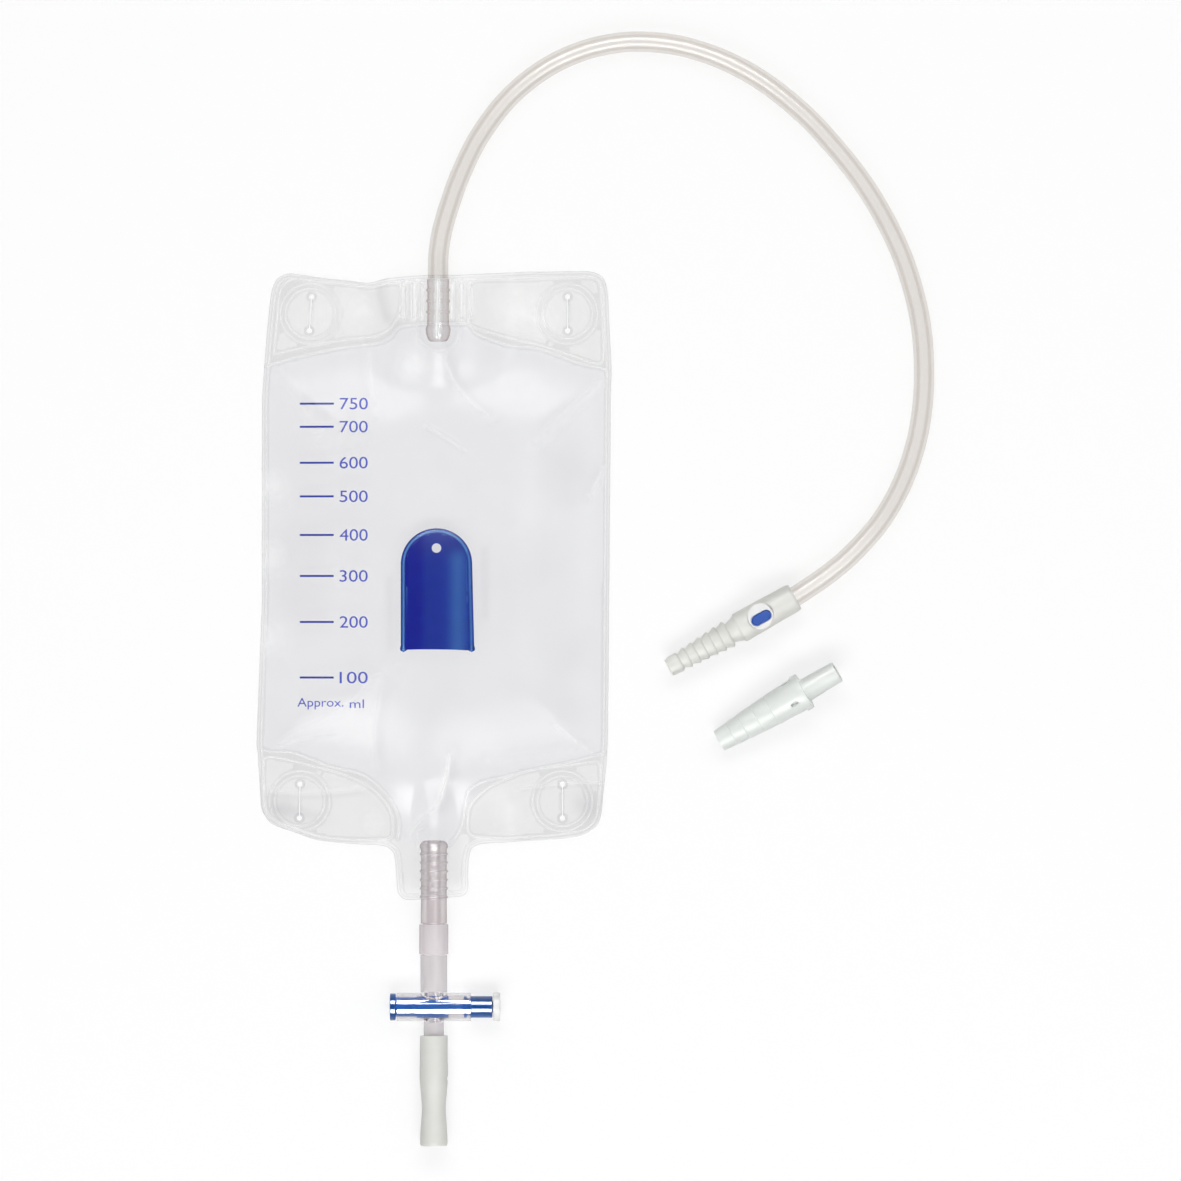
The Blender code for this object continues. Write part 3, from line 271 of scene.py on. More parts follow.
def show(tree, shader, to_lamps=None):
    """Show a shader. Where lamp light should pass, it meets the shader to_lamps instead."""
    if to_lamps:
        from_lamp = add(tree, "LightPath").outputs["Is Shadow Ray"]
        shader = add(tree, "MixShader", {0: from_lamp, 1: shader, 2: to_lamps})
    add(tree, "OutputMaterial", {"Surface": shader})


# Materials

def soft_pvc_film():
    """Calendered soft PVC film with a fine matt emboss: clear and faintly grey, with soft gleams."""
    material, tree = new_material("soft_pvc_film")
    marks = ("weld", "seam", "shade", "painted_light")
    weld, seam, shade, painted_light = (add(tree, "Attribute", attribute_name=name).outputs["Fac"] for name in marks)
    place = add(tree, "TexCoord").outputs["Object"]
    # the real emboss is about 0.15 mm, and it is drawn at 0.9 mm to show
    emboss = add(tree, "TexNoise", {"Vector": place, "Scale": 1100.0, "Detail": 2.0})
    matt = add(tree, "Bump", {"Strength": 0.02, "Distance": 0.00003, "Height": emboss})
    # clouds of haze about 26 mm across
    clouds = add(tree, "TexNoise", {"Vector": place, "Scale": 38.0, "Detail": 3.0})
    uneven = add(tree, "MapRange", {
        "Value": clouds, "From Min": 0.35, "From Max": 0.65, "To Min": -0.012, "To Max": 0.012,
    })
    # a weld line is a painted highlight about 0.7 mm wide between two fine sides of painted shade, which
    # stand in for light on its low ridge
    ridge_highlight = add(tree, "MapRange", {"Value": seam, "From Max": 0.2, "To Min": 0.18, "To Max": 0.0}, **SMOOTH)
    nearer = add(tree, "MapRange", {
        "Value": seam, "From Min": 0.15, "From Max": 0.34, "To Max": 0.16,
    }, **SMOOTH)
    farther = add(tree, "MapRange", {
        "Value": seam, "From Min": 0.38, "From Max": 0.7, "To Min": 0.16, "To Max": 0.0,
    }, **SMOOTH)
    sides = add(tree, "Math", {0: nearer, 1: farther}, operation="MINIMUM")
    lined = add(tree, "Math", {0: shade, 1: sides}, operation="ADD")
    grey = add(tree, "Math", {0: lined, 1: uneven}, operation="ADD", use_clamp=True)
    tint = add(tree, "Mix", {"Factor": weld, "A": linear("#FEFEFF"), "B": linear("#FFFFFF")}, **COLOURS)
    toned = add(tree, "Mix", {"Factor": grey, "A": tint, "B": linear("#D8D6DA")}, **COLOURS)
    clear = add(tree, "BsdfTransparent", {"Color": toned})
    gleam = add(tree, "BsdfGlossy", {"Color": linear("#FFFFFF"), "Roughness": 0.2, "Normal": matt})
    edge_on = add(tree, "LayerWeight", {"Blend": 0.5, "Normal": matt}).outputs["Facing"]
    steep = add(tree, "Math", {0: edge_on, 1: 5.0}, operation="POWER")
    gloss = add(tree, "MapRange", {"Value": steep, "To Min": 0.0025, "To Max": 0.4})
    surface = add(tree, "MixShader", {0: gloss, 1: clear, 2: gleam})
    # the white haze also takes the painted light and the weld lines' painted highlight
    haze = add(tree, "BsdfDiffuse", {"Color": linear("#FFFFFF"), "Normal": matt})
    white = add(tree, "Math", {0: painted_light, 1: ridge_highlight}, operation="ADD")
    milk = add(tree, "MapRange", {"Value": white, "To Min": 0.004, "To Max": 0.85})
    veiled = add(tree, "MixShader", {0: milk, 1: surface, 2: haze})
    show(tree, veiled, to_lamps=add(tree, "BsdfTransparent", {"Color": linear("#FEFEFE")}))
    return material


def clear_pvc(name, middle, wall, edge, body, cloud, gloss):
    """Clear soft PVC in the round, with one tint for its middle, one for its wall and one for its edge.

    cloud is how milky it is. The attribute "bore" marks an inner wall, which hardly shows an edge.
    """
    material, tree = new_material(name)
    place = add(tree, "TexCoord").outputs["Object"]
    # flow marks about 2.5 mm apart
    flow = add(tree, "TexNoise", {"Vector": place, "Scale": 400.0, "Detail": 2.0})
    skin = add(tree, "Bump", {"Strength": 0.1, "Distance": 0.000003, "Height": flow})
    away = add(tree, "LayerWeight", {"Blend": 0.5}).outputs["Facing"]
    bore = add(tree, "Attribute", attribute_name="bore").outputs["Fac"]
    shown = add(tree, "MapRange", {"Value": bore, "To Min": 1.0, "To Max": 0.05})
    facing = add(tree, "Math", {0: away, 1: shown}, operation="MULTIPLY")
    uneven = add(tree, "MapRange", {"Value": flow, "To Min": -0.02, "To Max": 0.02})
    turned_away = add(tree, "Math", {0: facing, 1: uneven}, operation="ADD")
    in_wall = add(tree, "MapRange", {"Value": turned_away, "From Min": 0.04, "From Max": 0.13}, **SMOOTH)
    at_edge = add(tree, "MapRange", {"Value": facing, "From Min": 0.25, "From Max": 0.85}, **SMOOTH)
    tint = add(tree, "Mix", {"Factor": in_wall, "A": linear(middle), "B": linear(wall)}, **COLOURS)
    tint = add(tree, "Mix", {"Factor": at_edge, "A": tint, "B": linear(edge)}, **COLOURS)
    clear = add(tree, "BsdfTransparent", {"Color": tint})
    milk = add(tree, "BsdfDiffuse", {"Color": linear(body), "Normal": skin})
    cloudy = add(tree, "MixShader", {0: cloud, 1: clear, 2: milk})
    gleam = add(tree, "BsdfGlossy", {"Color": linear("#FFFFFF"), "Roughness": 0.15, "Normal": skin})
    steep = add(tree, "Math", {0: facing, 1: 4.0}, operation="POWER")
    share = add(tree, "MapRange", {"Value": steep, "To Min": gloss, "To Max": 0.2})
    surface = add(tree, "MixShader", {0: share, 1: cloudy, 2: gleam})
    # lamp light goes through, so that what is cloudy glows from its far side too
    show(tree, surface, to_lamps=clear)
    return material


def clear_acrylic():
    """Moulded clear acrylic: it bends light as a solid, and its edges go dark.

    What lies in it looks enlarged. The attribute "frost" marks the spigots, which are matt inside and cloudy.
    """
    material, tree = new_material("moulded_clear_acrylic")
    place = add(tree, "TexCoord").outputs["Object"]
    # flow marks about 3 mm apart
    flow = add(tree, "TexNoise", {"Vector": place, "Scale": 300.0, "Detail": 2.0})
    solid = add(tree, "BsdfPrincipled", {
        "Base Color": linear("#E8E6E7"),
        "Roughness": add(tree, "MapRange", {"Value": flow, "To Min": 0.02, "To Max": 0.05}),
        "IOR": 1.49,
        "Transmission Weight": 1.0,
        "Coat Weight": 1.0,
        "Coat Roughness": 0.04,
        "Normal": add(tree, "Bump", {"Strength": 0.2, "Distance": 0.000003, "Height": flow}),
    })
    milk = add(tree, "BsdfDiffuse", {"Color": linear("#DFDBDC")})
    frosted = add(tree, "Attribute", attribute_name="frost").outputs["Fac"]
    cloud = add(tree, "Math", {0: frosted, 1: 0.65}, operation="MULTIPLY")
    cloudy = add(tree, "MixShader", {0: cloud, 1: solid, 2: milk})
    # where it turns away from view a grey matt colour is mixed in: painted shade that darkens its edges
    facing = add(tree, "LayerWeight", {"Blend": 0.5}).outputs["Facing"]
    steep = add(tree, "Math", {0: facing, 1: 5.0}, operation="POWER")
    share = add(tree, "MapRange", {"Value": steep, "To Min": 0.0, "To Max": 0.6})
    rim = add(tree, "BsdfDiffuse", {"Color": linear("#A79C9C")})
    edged = add(tree, "MixShader", {0: share, 1: cloudy, 2: rim})
    # lamp light goes through to the plunger, which a bent ray would not find
    show(tree, edged, to_lamps=add(tree, "BsdfTransparent", {"Color": linear("#F4F3F5")}))
    return material


def moulded_plastic(
    name, colour, second_colour, roughness, grain, grain_height,
    specular=0.14, coat=0.0, scatter=0.0, pale="#FFFFFF",
):
    """An opaque moulded plastic: a slightly uneven colour and a fine skin from the mould.

    The attribute "pale" marks where it takes the pale colour, which the valve uses for a painted highlight.
    """
    material, tree = new_material(name)
    place = add(tree, "TexCoord").outputs["Object"]
    # the tone drifts over about 6 mm
    flow = add(tree, "TexNoise", {"Vector": place, "Scale": 160.0, "Detail": 3.0})
    blend = add(tree, "MapRange", {"Value": flow, "From Min": 0.3, "From Max": 0.7})
    tone = add(tree, "Mix", {"Factor": blend, "A": linear(colour), "B": linear(second_colour)}, **COLOURS)
    painted_highlight = add(tree, "Attribute", attribute_name="pale").outputs["Fac"]
    tone = add(tree, "Mix", {"Factor": painted_highlight, "A": tone, "B": linear(pale)}, **COLOURS)
    # the mould's skin: grains of 0.6 to 1.1 mm, coarser than the real ones, so that they show
    grains = add(tree, "TexNoise", {"Vector": place, "Scale": grain, "Detail": 3.0})
    skin = add(tree, "Bump", {"Strength": 0.35, "Distance": grain_height, "Height": grains})
    rough = add(tree, "MapRange", {"Value": grains, "To Min": roughness * 0.85, "To Max": roughness * 1.15})
    shader = add(tree, "BsdfPrincipled", {
        "Base Color": tone,
        "Roughness": rough,
        "IOR": 1.5,
        "Specular IOR Level": specular,
        "Coat Weight": coat,
        "Coat Roughness": 0.08,
        "Subsurface Weight": scatter,
        "Subsurface Radius": (0.0015, 0.0015, 0.0015),
        "Subsurface Scale": 1.0,
        "Normal": skin,
    })
    show(tree, shader)
    return material


def make_materials():
    """Every finish of the set, by its everyday name."""
    return {
        "film": soft_pvc_film(),
        # extruded soft PVC, clear and faintly warm: its wall looks greyer than its middle and its edge
        "tube": clear_pvc("extruded_soft_pvc", "#FDFCFB", "#F2F0EE", "#F3F1EF", "#E8E6E4", 0.025, 0.004),
        # moulded soft PVC, thick-walled, so its sides look mauve-grey
        "inlet": clear_pvc("moulded_soft_pvc", "#FFFFFF", "#F8F5F5", "#DCD3D1", "#F0ECEA", 0.03, 0.02),
        # the same, cloudier, and its ribs gleam
        "port": clear_pvc("moulded_cloudy_pvc", "#FBF9F9", "#F9F7F7", "#D8D2D3", "#D9D3D5", 0.35, 0.03),
        # extruded, cloudy and thinner
        "sleeve": clear_pvc("extruded_cloudy_pvc", "#FDFCFD", "#FBFAFB", "#E0DADC", "#F2EEF0", 0.5, 0.01),
        # moulded acrylic, glass-clear round the plunger and cloudy in its spigots
        "tap": clear_acrylic(),
        # extruded milky PVC: it scatters light, so its walls look thick and soft
        "milky": moulded_plastic("milky_soft_pvc", "#E5E6E0", "#E8E8E4", 0.4, 900.0, 0.00002, scatter=0.4),
        # injection-moulded polyethylene, deep blue, with a painted highlight along the crest of its bead
        "valve": moulded_plastic(
            "moulded_deep_blue_polyethylene", "#0A1A90", "#102098", 0.16, 1200.0, 0.00001, pale="#5BA0D8",
        ),
        # injection-moulded polypropylene, bright blue and polished
        "plunger": moulded_plastic(
            "moulded_bright_blue_polypropylene", "#004890", "#004E98", 0.14, 1000.0, 0.00001,
            specular=0.5, coat=0.4,
        ),
        # moulded isoprene rubber: matt, and softer blue than the plastics
        "septum": moulded_plastic("moulded_blue_isoprene", "#104AAC", "#1852B4", 0.5, 1500.0, 0.00002),
        # injection-moulded ABS, bright white
        "white": moulded_plastic(
            "moulded_white_abs", "#FAFAF8", "#F6F7F5", 0.3, 1200.0, 0.00001, scatter=0.15,
        ),
        # injection-moulded ABS with a satin skin, and hardly warmer than white
        "body": moulded_plastic(
            "moulded_satin_abs", "#EAEAE5", "#E6E6E1", 0.42, 1300.0, 0.00003, scatter=0.1,
        ),
        # injection-moulded polypropylene: cool white, and a little see-through at thin edges
        "adapter": moulded_plastic(
            "moulded_white_polypropylene", "#F2F6F2", "#EEF2EF", 0.3, 1100.0, 0.00001, scatter=0.35,
        ),
        # screen-printed ink: a flat matt blue, paler in the numbers, where it is thinner
        "ink_line": moulded_plastic("screen_printed_blue_ink", "#22349C", "#2A3CA2", 0.5, 1600.0, 0.00001),
        "ink_number": moulded_plastic("screen_printed_pale_ink", "#4650BC", "#4E58C2", 0.5, 1600.0, 0.00001),
    }


# Shapes, in millimetres

def mix(a, b, share):
    return a + (b - a) * share


def smooth_step(share):
    share = np.clip(share, 0.0, 1.0)
    return share * share * (3 - 2 * share)


def arc(centre, radius, start, end, segments):
    """Points on an arc from the angle start to the angle end, in degrees."""
    angles = [math.radians(mix(start, end, k / segments)) for k in range(segments + 1)]
    return [(centre[0] + radius * math.cos(a), centre[1] + radius * math.sin(a)) for a in angles]


def stadium(length, width):
    """A flat outline with two straight sides and two round ends."""
    reach = (length - width) / 2
    return arc((reach, 0), width / 2, -90, 90, 12) + arc((-reach, 0), width / 2, 90, 270, 12)


def rounded(points, radius, steps=4, closed=False):
    """The line with each corner rounded off, as far as the stretches beside it allow."""
    points = [Vector(p) for p in points]
    count = len(points)
    result = []
    for k, corner in enumerate(points):
        if not closed and k in (0, count - 1):
            result.append(tuple(corner))
            continue
        back = points[k - 1] - corner
        on = points[(k + 1) % count] - corner
        cut = min(radius, 0.45 * back.length, 0.45 * on.length)
        first = corner + back.normalized() * cut
        last = corner + on.normalized() * cut
        for step in range(steps + 1):
            share = step / steps
            result.append(tuple(first.lerp(corner, share).lerp(corner.lerp(last, share), share)))
    return result


def resampled(points, every, closed=False):
    """Evenly spaced points along a line."""
    points = np.array(points + points[:1] if closed else points, dtype=float)
    lengths = np.r_[0, np.cumsum(np.linalg.norm(np.diff(points, axis=0), axis=1))]
    count = max(2, round(lengths[-1] / every) + 1)
    places = np.linspace(0, lengths[-1], count)
    even = np.column_stack([np.interp(places, lengths, column) for column in points.T])
    return even[:-1] if closed else even


def smooth_route(route, every):
    """Evenly spaced points on a smooth curve through the route's points."""
    points = np.array(route, dtype=float)
    ends = np.vstack([2 * points[0] - points[1], points, 2 * points[-1] - points[-2]])
    fine = []
    for a, b, c, d in zip(ends, ends[1:], ends[2:], ends[3:]):
        for t in np.linspace(0, 1, 12, endpoint=False):
            square = (2 * a - 5 * b + 4 * c - d) * t ** 2
            cube = (3 * b - a - 3 * c + d) * t ** 3
            fine.append(tuple(0.5 * (2 * b + (c - a) * t + square + cube)))
    return resampled(fine + [tuple(points[-1])], every)


def ring_faces(rings, sides, closed=False):
    """Quads between rings of points that follow one another."""
    faces = []
    for ring in range(rings if closed else rings - 1):
        after = (ring + 1) % rings
        for side in range(sides):
            beside = (side + 1) % sides
            a, b = ring * sides, after * sides
            faces.append((a + side, a + beside, b + beside, b + side))
    return faces


def turned(profile, segments=72):
    """A profile of (place along X, radius) turned about the X axis."""
    along, radius = np.array(profile, dtype=float).T
    angles = np.arange(segments) * math.tau / segments
    points = np.stack([
        np.repeat(along[:, None], segments, axis=1),
        np.outer(radius, np.sin(angles)),
        np.outer(radius, np.cos(angles)),
    ], axis=2)
    return points.reshape(-1, 3), ring_faces(len(profile), segments, closed=radius.min() > 0)


def swept(centres, radii, sides):
    """Rings of points round a nearly level path, one ring after the other."""
    centres = np.array(centres, dtype=float)
    along = np.gradient(centres, axis=0)
    along /= np.linalg.norm(along, axis=1)[:, None]
    across = np.cross(along, (0.0, 0.0, 1.0))
    across /= np.linalg.norm(across, axis=1)[:, None]
    up = np.cross(across, along)
    angles = np.arange(sides) * math.tau / sides
    cosines, sines = np.cos(angles)[None, :, None], np.sin(angles)[None, :, None]
    rings = cosines * across[:, None, :] + sines * up[:, None, :]
    return (centres[:, None, :] + rings * np.array(radii)[:, None, None]).reshape(-1, 3)


def placed(shape, origin, turn=0.0, pitch=0.0):
    """The shape tilted up by pitch, turned and moved to its origin."""
    points, faces = shape
    rotation = np.array(Euler((0.0, -pitch, turn)).to_matrix())
    return points @ rotation.T + np.array(origin), faces


def joined(*shapes):
    """Several shapes as one."""
    points, faces, start = [], [], 0
    for shape_points, shape_faces in shapes:
        points.append(np.asarray(shape_points))
        faces += [tuple(start + corner for corner in face) for face in shape_faces]
        start += len(shape_points)
    return np.vstack(points), faces


def smoothed(mesh, sharp):
    """Smooth, but for the edges where the faces turn by more than `sharp` degrees."""
    mesh.shade_smooth()
    mesh.set_sharp_from_angle(angle=math.radians(sharp))


def in_scene(name, data):
    obj = bpy.data.objects.new(name, data)
    bpy.context.scene.collection.objects.link(obj)
    return obj


def new_object(name, shape, sharp=35):
    points, faces = shape
    mesh = bpy.data.meshes.new(name)
    mesh.from_pydata((np.asarray(points) * MM).tolist(), [], faces)
    bm = bmesh.new()
    bm.from_mesh(mesh)
    bmesh.ops.remove_doubles(bm, verts=bm.verts, dist=0.0000005)
    bmesh.ops.recalc_face_normals(bm, faces=bm.faces)
    bm.to_mesh(mesh)
    bm.free()
    smoothed(mesh, sharp)
    return in_scene(name, mesh)


def dressed(obj, material, slot, *nodes, body="bag"):
    """Give a piece its finish and its body, and hide the CAD nodes that it stands for."""
    obj.data.materials.clear()
    obj.data.materials.append(material)
    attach(obj, body)
    if nodes:
        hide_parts(*nodes)
    return obj


def piece(name, shape, material, slot, *nodes, body="bag", sharp=35):
    """A shape as an object of its own, dressed."""
    return dressed(new_object(name, shape, sharp), material, slot, *nodes, body=body)


def points_of(mesh):
    """A mesh's points, in metres."""
    return np.array([tuple(v.co) for v in mesh.vertices])


def mark(obj, name, values):
    """Write a value from 0 to 1 on each point, for a material to read."""
    layer = obj.data.attributes.new(name, "FLOAT", "POINT")
    layer.data.foreach_set("value", np.clip(values, 0, 1).astype(np.float32))


def combined(obj, other, operation):
    """Join another shape to an object, or cut it away, for good."""
    modifier = obj.modifiers.new(operation, "BOOLEAN")
    modifier.operation = operation
    modifier.solver = "EXACT"
    modifier.object = other
    graph = bpy.context.evaluated_depsgraph_get()
    mesh = bpy.data.meshes.new_from_object(obj.evaluated_get(graph))
    obj.modifiers.clear()
    obj.data = mesh
    bpy.data.objects.remove(other, do_unlink=True)


# Sheets: films and plates cut from flat outlines

def in_loops(points, loops):
    """Whether each point lies in the first loop and in none of the others."""
    x, y = points.T
    odd = np.zeros(len(points), dtype=bool)
    for loop in loops:
        for (ax, ay), (bx, by) in zip(loop, np.roll(loop, -1, axis=0)):
            if ay != by:
                odd ^= ((ay > y) != (by > y)) & (x < ax + (y - ay) * (bx - ax) / (by - ay))
    return odd


def thinned(kept, candidates, room):
    """Add the candidates that lie at least `room` from every point kept so far."""
    cells = {}
    for x, y in kept:
        cells.setdefault((int(x // room), int(y // room)), []).append((x, y))
    for x, y in candidates:
        column, row = int(x // room), int(y // room)
        near = [p for i in (-1, 0, 1) for j in (-1, 0, 1) for p in cells.get((column + i, row + j), ())]
        if all((x - px) ** 2 + (y - py) ** 2 >= room * room for px, py in near):
            cells.setdefault((column, row), []).append((x, y))
            kept.append((x, y))


def cut_sheet(loops, inner):
    """Flat points and triangles of a sheet with holes. Inner holds (points, room) pairs, the finest first."""
    loops = [np.asarray(loop) for loop in loops]
    points = [tuple(p) for loop in loops for p in loop]
    edges, start = [], 0
    for loop in loops:
        count = len(loop)
        edges += [(start + k, start + (k + 1) % count) for k in range(count)]
        start += count
    for candidates, room in inner:
        candidates = np.asarray(candidates)
        thinned(points, candidates[in_loops(candidates, loops)].tolist(), room)
    flat, _, triangles, *_ = delaunay_2d_cdt([Vector(p) for p in points], edges, [], 0, 0.00001)
    flat = np.array([tuple(p) for p in flat])
    triangles = np.array([tuple(t) for t in triangles])
    middles = flat[triangles].mean(axis=1)
    return flat, triangles[in_loops(middles, loops)]


def thick_sheet(flat, triangles, top, bottom):
    """A closed sheet between two heights, with a rim round every cut edge."""
    count = len(flat)
    points = np.vstack([np.column_stack([flat, top]), np.column_stack([flat, bottom])])
    faces = [tuple(t) for t in triangles.tolist()]
    directed = {(t[k], t[(k + 1) % 3]) for t in faces for k in range(3)}
    rim = [(b, a, a + count, b + count) for a, b in directed if (b, a) not in directed]
    return points, faces + [(c + count, b + count, a + count) for a, b, c in faces] + rim


def beside(path, offset, closed=False):
    """The path moved sideways, to its left."""
    path = np.asarray(path)
    if closed:
        along = np.roll(path, -1, axis=0) - np.roll(path, 1, axis=0)
    else:
        along = np.gradient(path, axis=0)
    along /= np.linalg.norm(along, axis=1)[:, None]
    return path + offset * np.column_stack([-along[:, 1], along[:, 0]])


def looped(path):
    """A closed path with its first point once more at its end."""
    return np.vstack([path, path[:1]])


def distance_to(points, path, reach):
    """The signed distance of each point from a path, positive to its left, and no more than reach."""
    path = np.asarray(path)
    nearest = np.full(len(points), float(reach))
    close = np.all((points > path.min(axis=0) - reach) & (points < path.max(axis=0) + reach), axis=1)
    some = points[close]
    best = np.full(len(some), float(reach))
    for a, b in zip(path, path[1:]):
        along = b - a
        length = np.linalg.norm(along)
        if length == 0:
            continue
        share = np.clip((some - a) @ along / length ** 2, 0, 1)
        off = some - (a + share[:, None] * along)
        distance = np.linalg.norm(off, axis=1)
        side = np.sign(along[0] * off[:, 1] - along[1] * off[:, 0])
        side[side == 0] = 1
        closer = distance < np.abs(best)
        best[closer] = (side * distance)[closer]
    nearest[close] = best
    return nearest


# The films

def slit_outline(x, y, lean):
    """A button hole: a narrow slit with a round hole at each end."""
    reach = SLIT_LENGTH / 2
    mouth = math.degrees(math.asin(SLIT_WIDTH / 2 / SLIT_END_RADIUS))
    outline = arc((0, reach), SLIT_END_RADIUS, -90 + mouth, 270 - mouth, 14)
    outline += arc((0, -reach), SLIT_END_RADIUS, 90 + mouth, 450 - mouth, 14)
    turn = -math.radians(lean)
    return [
        (x + px * math.cos(turn) - py * math.sin(turn), y + px * math.sin(turn) + py * math.cos(turn))
        for px, py in outline
    ]


def film_edge(every):
    """Evenly spaced points round the films' cut edge."""
    return resampled(rounded(FILM_OUTLINE, FILM_CORNER, closed=True), every, closed=True)


def chamber_outline():
    bottom = [(-8.0, -121.2)]
    return np.array(TOP_WELD_LINE + RIGHT_FUNNEL_LINE + bottom + LEFT_FUNNEL_LINE[::-1])


def port_wrap(offset, radius):
    """How far a film stands off the weld plane by a round port: over the round, then straight to its foot."""
    leave = radius * math.cos(WRAP_LEAVE)
    share = np.clip((offset - leave) / (radius + WRAP_FOOT - leave), 0, 1)
    over = np.sqrt(np.maximum(radius ** 2 - offset ** 2, 0))
    return np.where(offset <= leave, over, math.sqrt(radius ** 2 - leave ** 2) * (1 - share))


def port_shape(x, middle, radius, height, past):
    """(rise of the weld plane, stand-off of a film) for a port whose inner end is `past` millimetres away."""
    offset = np.abs(x - middle)
    near = 1 - smooth_step(past / WRAP_FADE)
    rise = (height - WELD_Z) * (1 - smooth_step((offset - radius - WRAP_FOOT) / TENT))
    return rise * near, port_wrap(offset, radius) * near


def film_height(flat, front):
    """The height of the front or the back film's inner face over the floor."""
    x, y = flat.T
    inlet_past, outlet_past = INLET_INNER_Y - WRAP_LEAD - y, y - OUTLET_INNER_Y - WRAP_LEAD
    inlet = port_shape(x, INLET_X, INLET_FLARE_RADIUS + SEAT, INLET_Z, inlet_past)
    outlet = port_shape(x, OUTLET_X, OUTLET_FLARE_RADIUS + SEAT, OUTLET_Z, outlet_past)
    rise = np.maximum(inlet[0], outlet[0])
    wrap = np.maximum(inlet[1], outlet[1])
    outline = chamber_outline()
    depth = np.abs(distance_to(flat, looped(outline), CHAMBER_ROLL))
    inside = smooth_step(np.where(in_loops(flat, [outline]), depth, 0) / CHAMBER_ROLL)
    if not front:
        return WELD_Z - SEAT / 2 + (rise - wrap) * (1 - inside)
    # low waves, as in a film that has been folded flat
    ripple = 0.16 * np.sin(x / 9.0 + y / 14.0) + 0.14 * np.sin(y / 8.0 - x / 21.0 + 1.0)
    lift = CHAMBER_HEIGHT * inside + (ripple + 0.2) * inside
    return WELD_Z + SEAT / 2 + ((rise + wrap) ** 4 + lift ** 4) ** 0.25


def film_thickness(flat, front):
    """How thick the film measures upright, which is more where it is steep."""
    step = 0.05
    slope_x = film_height(flat + (step, 0), front) - film_height(flat - (step, 0), front)
    slope_y = film_height(flat + (0, step), front) - film_height(flat - (0, step), front)
    return FILM * np.minimum(np.sqrt(1 + (slope_x ** 2 + slope_y ** 2) / (2 * step) ** 2), 2.5)


def film_lines():
    """The lines pressed into the film: (path, ridge height, ridge width)."""
    weld, fine, ring = (0.05, 0.34), (0.03, 0.26), (0.04, 0.3)
    edges = (TOP_WELD_LINE, LEFT_FUNNEL_LINE, RIGHT_FUNNEL_LINE)
    lines = [(smooth_route(path, 0.5), *weld) for path in edges]
    for panel in PANEL_LINES:
        lines.append((looped(resampled(rounded(panel, 3.0, closed=True), 0.5, closed=True)), *weld))
    lines.append((looped(beside(film_edge(0.6), -1.9, closed=True)), *fine))
    low, high = UPRIGHT_WELD_YS
    lines += [(resampled([(x, high), (x, low)], 0.6), *fine) for x in UPRIGHT_WELD_XS]
    for x, y, _ in BUTTON_HOLES:
        lines += [(np.array(arc((x, y), radius, 0, 360, 130)), *ring) for radius in BUTTON_RING_RADII]
    return lines


def film_folds():
    """The folds as fine paths, then the cut edges: (path, width, left tone, right tone)."""
    folds = [(smooth_route(path, 0.9), width, left, right) for width, left, right, path in FOLDS]
    cuts = [film_edge(1.0)]
    for x, y, lean in BUTTON_HOLES:
        cuts.append(slit_outline(x, y, lean))
        reach, turn = SLIT_LENGTH / 2, math.radians(lean)
        for end in (-reach, reach):
            middle = (x + end * math.sin(turn), y + end * math.cos(turn))
            cuts.append(arc(middle, SLIT_RING_RADIUS, 0, 350, 24))
    return folds + [(looped(cut), 0.4, -0.3, -0.3) for cut in cuts]


def film_loops():
    return [film_edge(1.2)] + [np.array(slit_outline(*hole)) for hole in BUTTON_HOLES]


def port_rows():
    """Points over the ports, close enough across for the film's round over them."""
    points = []
    inlet = (INLET_X, INLET_FLARE_RADIUS + SEAT, 60.0, 119.0)
    outlet = (OUTLET_X, OUTLET_FLARE_RADIUS + SEAT, -145.0, -90.0)
    for middle, radius, low, high in (inlet, outlet):
        offsets = [radius * math.sin(math.radians(a)) for a in range(0, 70, 7)] + [radius + WRAP_FOOT]
        for y in np.arange(low, high, 1.1):
            points += [(middle + side * offset, y) for offset in offsets for side in (-1, 1)]
    return points


def grid(spacing):
    """Evenly spaced points over the whole film."""
    xs, ys = np.meshgrid(np.arange(-76, 76, spacing), np.arange(-146, 122, spacing))
    return np.column_stack([xs.ravel(), ys.ravel()])


def mark_film(obj, lines, folds):
    """Write on each point how much it is welded, how near a weld line it is, how grey it is (painted shade of
    folds and patches, and grey lines at the cut edges) and how white (painted light).
    """
    flat = points_of(obj.data)[:, :2] / MM
    outline = chamber_outline()
    # 0.4 in the chamber and 1 past its edge, changing within a millimetre on either side
    edge = np.abs(distance_to(flat, looped(outline), 1.0))
    weld = np.where(in_loops(flat, [outline]), 0.7 - 0.3 * edge, 0.7 + 0.3 * edge)
    seam, shade, painted_light = np.ones(len(flat)), np.zeros(len(flat)), np.zeros(len(flat))
    for path, _, width in lines:
        reach = 6 * width
        seam = np.minimum(seam, np.abs(distance_to(flat, path, reach)) / reach)
    for path, width, left, right in folds:
        reach = 2.6 * width
        distance = distance_to(flat, path, reach)
        tone = mix(right, left, smooth_step(distance / width + 0.5)) * np.exp(-(distance / width) ** 2)
        tone *= np.abs(distance) < reach
        if not np.array_equal(path[0], path[-1]):
            from_end = np.minimum(*(np.linalg.norm(flat - end, axis=1) for end in (path[0], path[-1])))
            tone *= smooth_step(from_end / (1.5 * width))
        painted_light += np.maximum(tone, 0)
        shade += np.maximum(-tone, 0)
    for x, y, radius, amount in LIGHT_AND_SHADE_PATCHES:
        tone = amount * np.exp(-((flat - (x, y)) ** 2).sum(axis=1) / radius ** 2)
        painted_light += np.maximum(tone, 0)
        shade += np.maximum(-tone, 0)
    for name, values in (("weld", weld), ("seam", seam), ("shade", shade), ("painted_light", painted_light)):
        mark(obj, name, values)


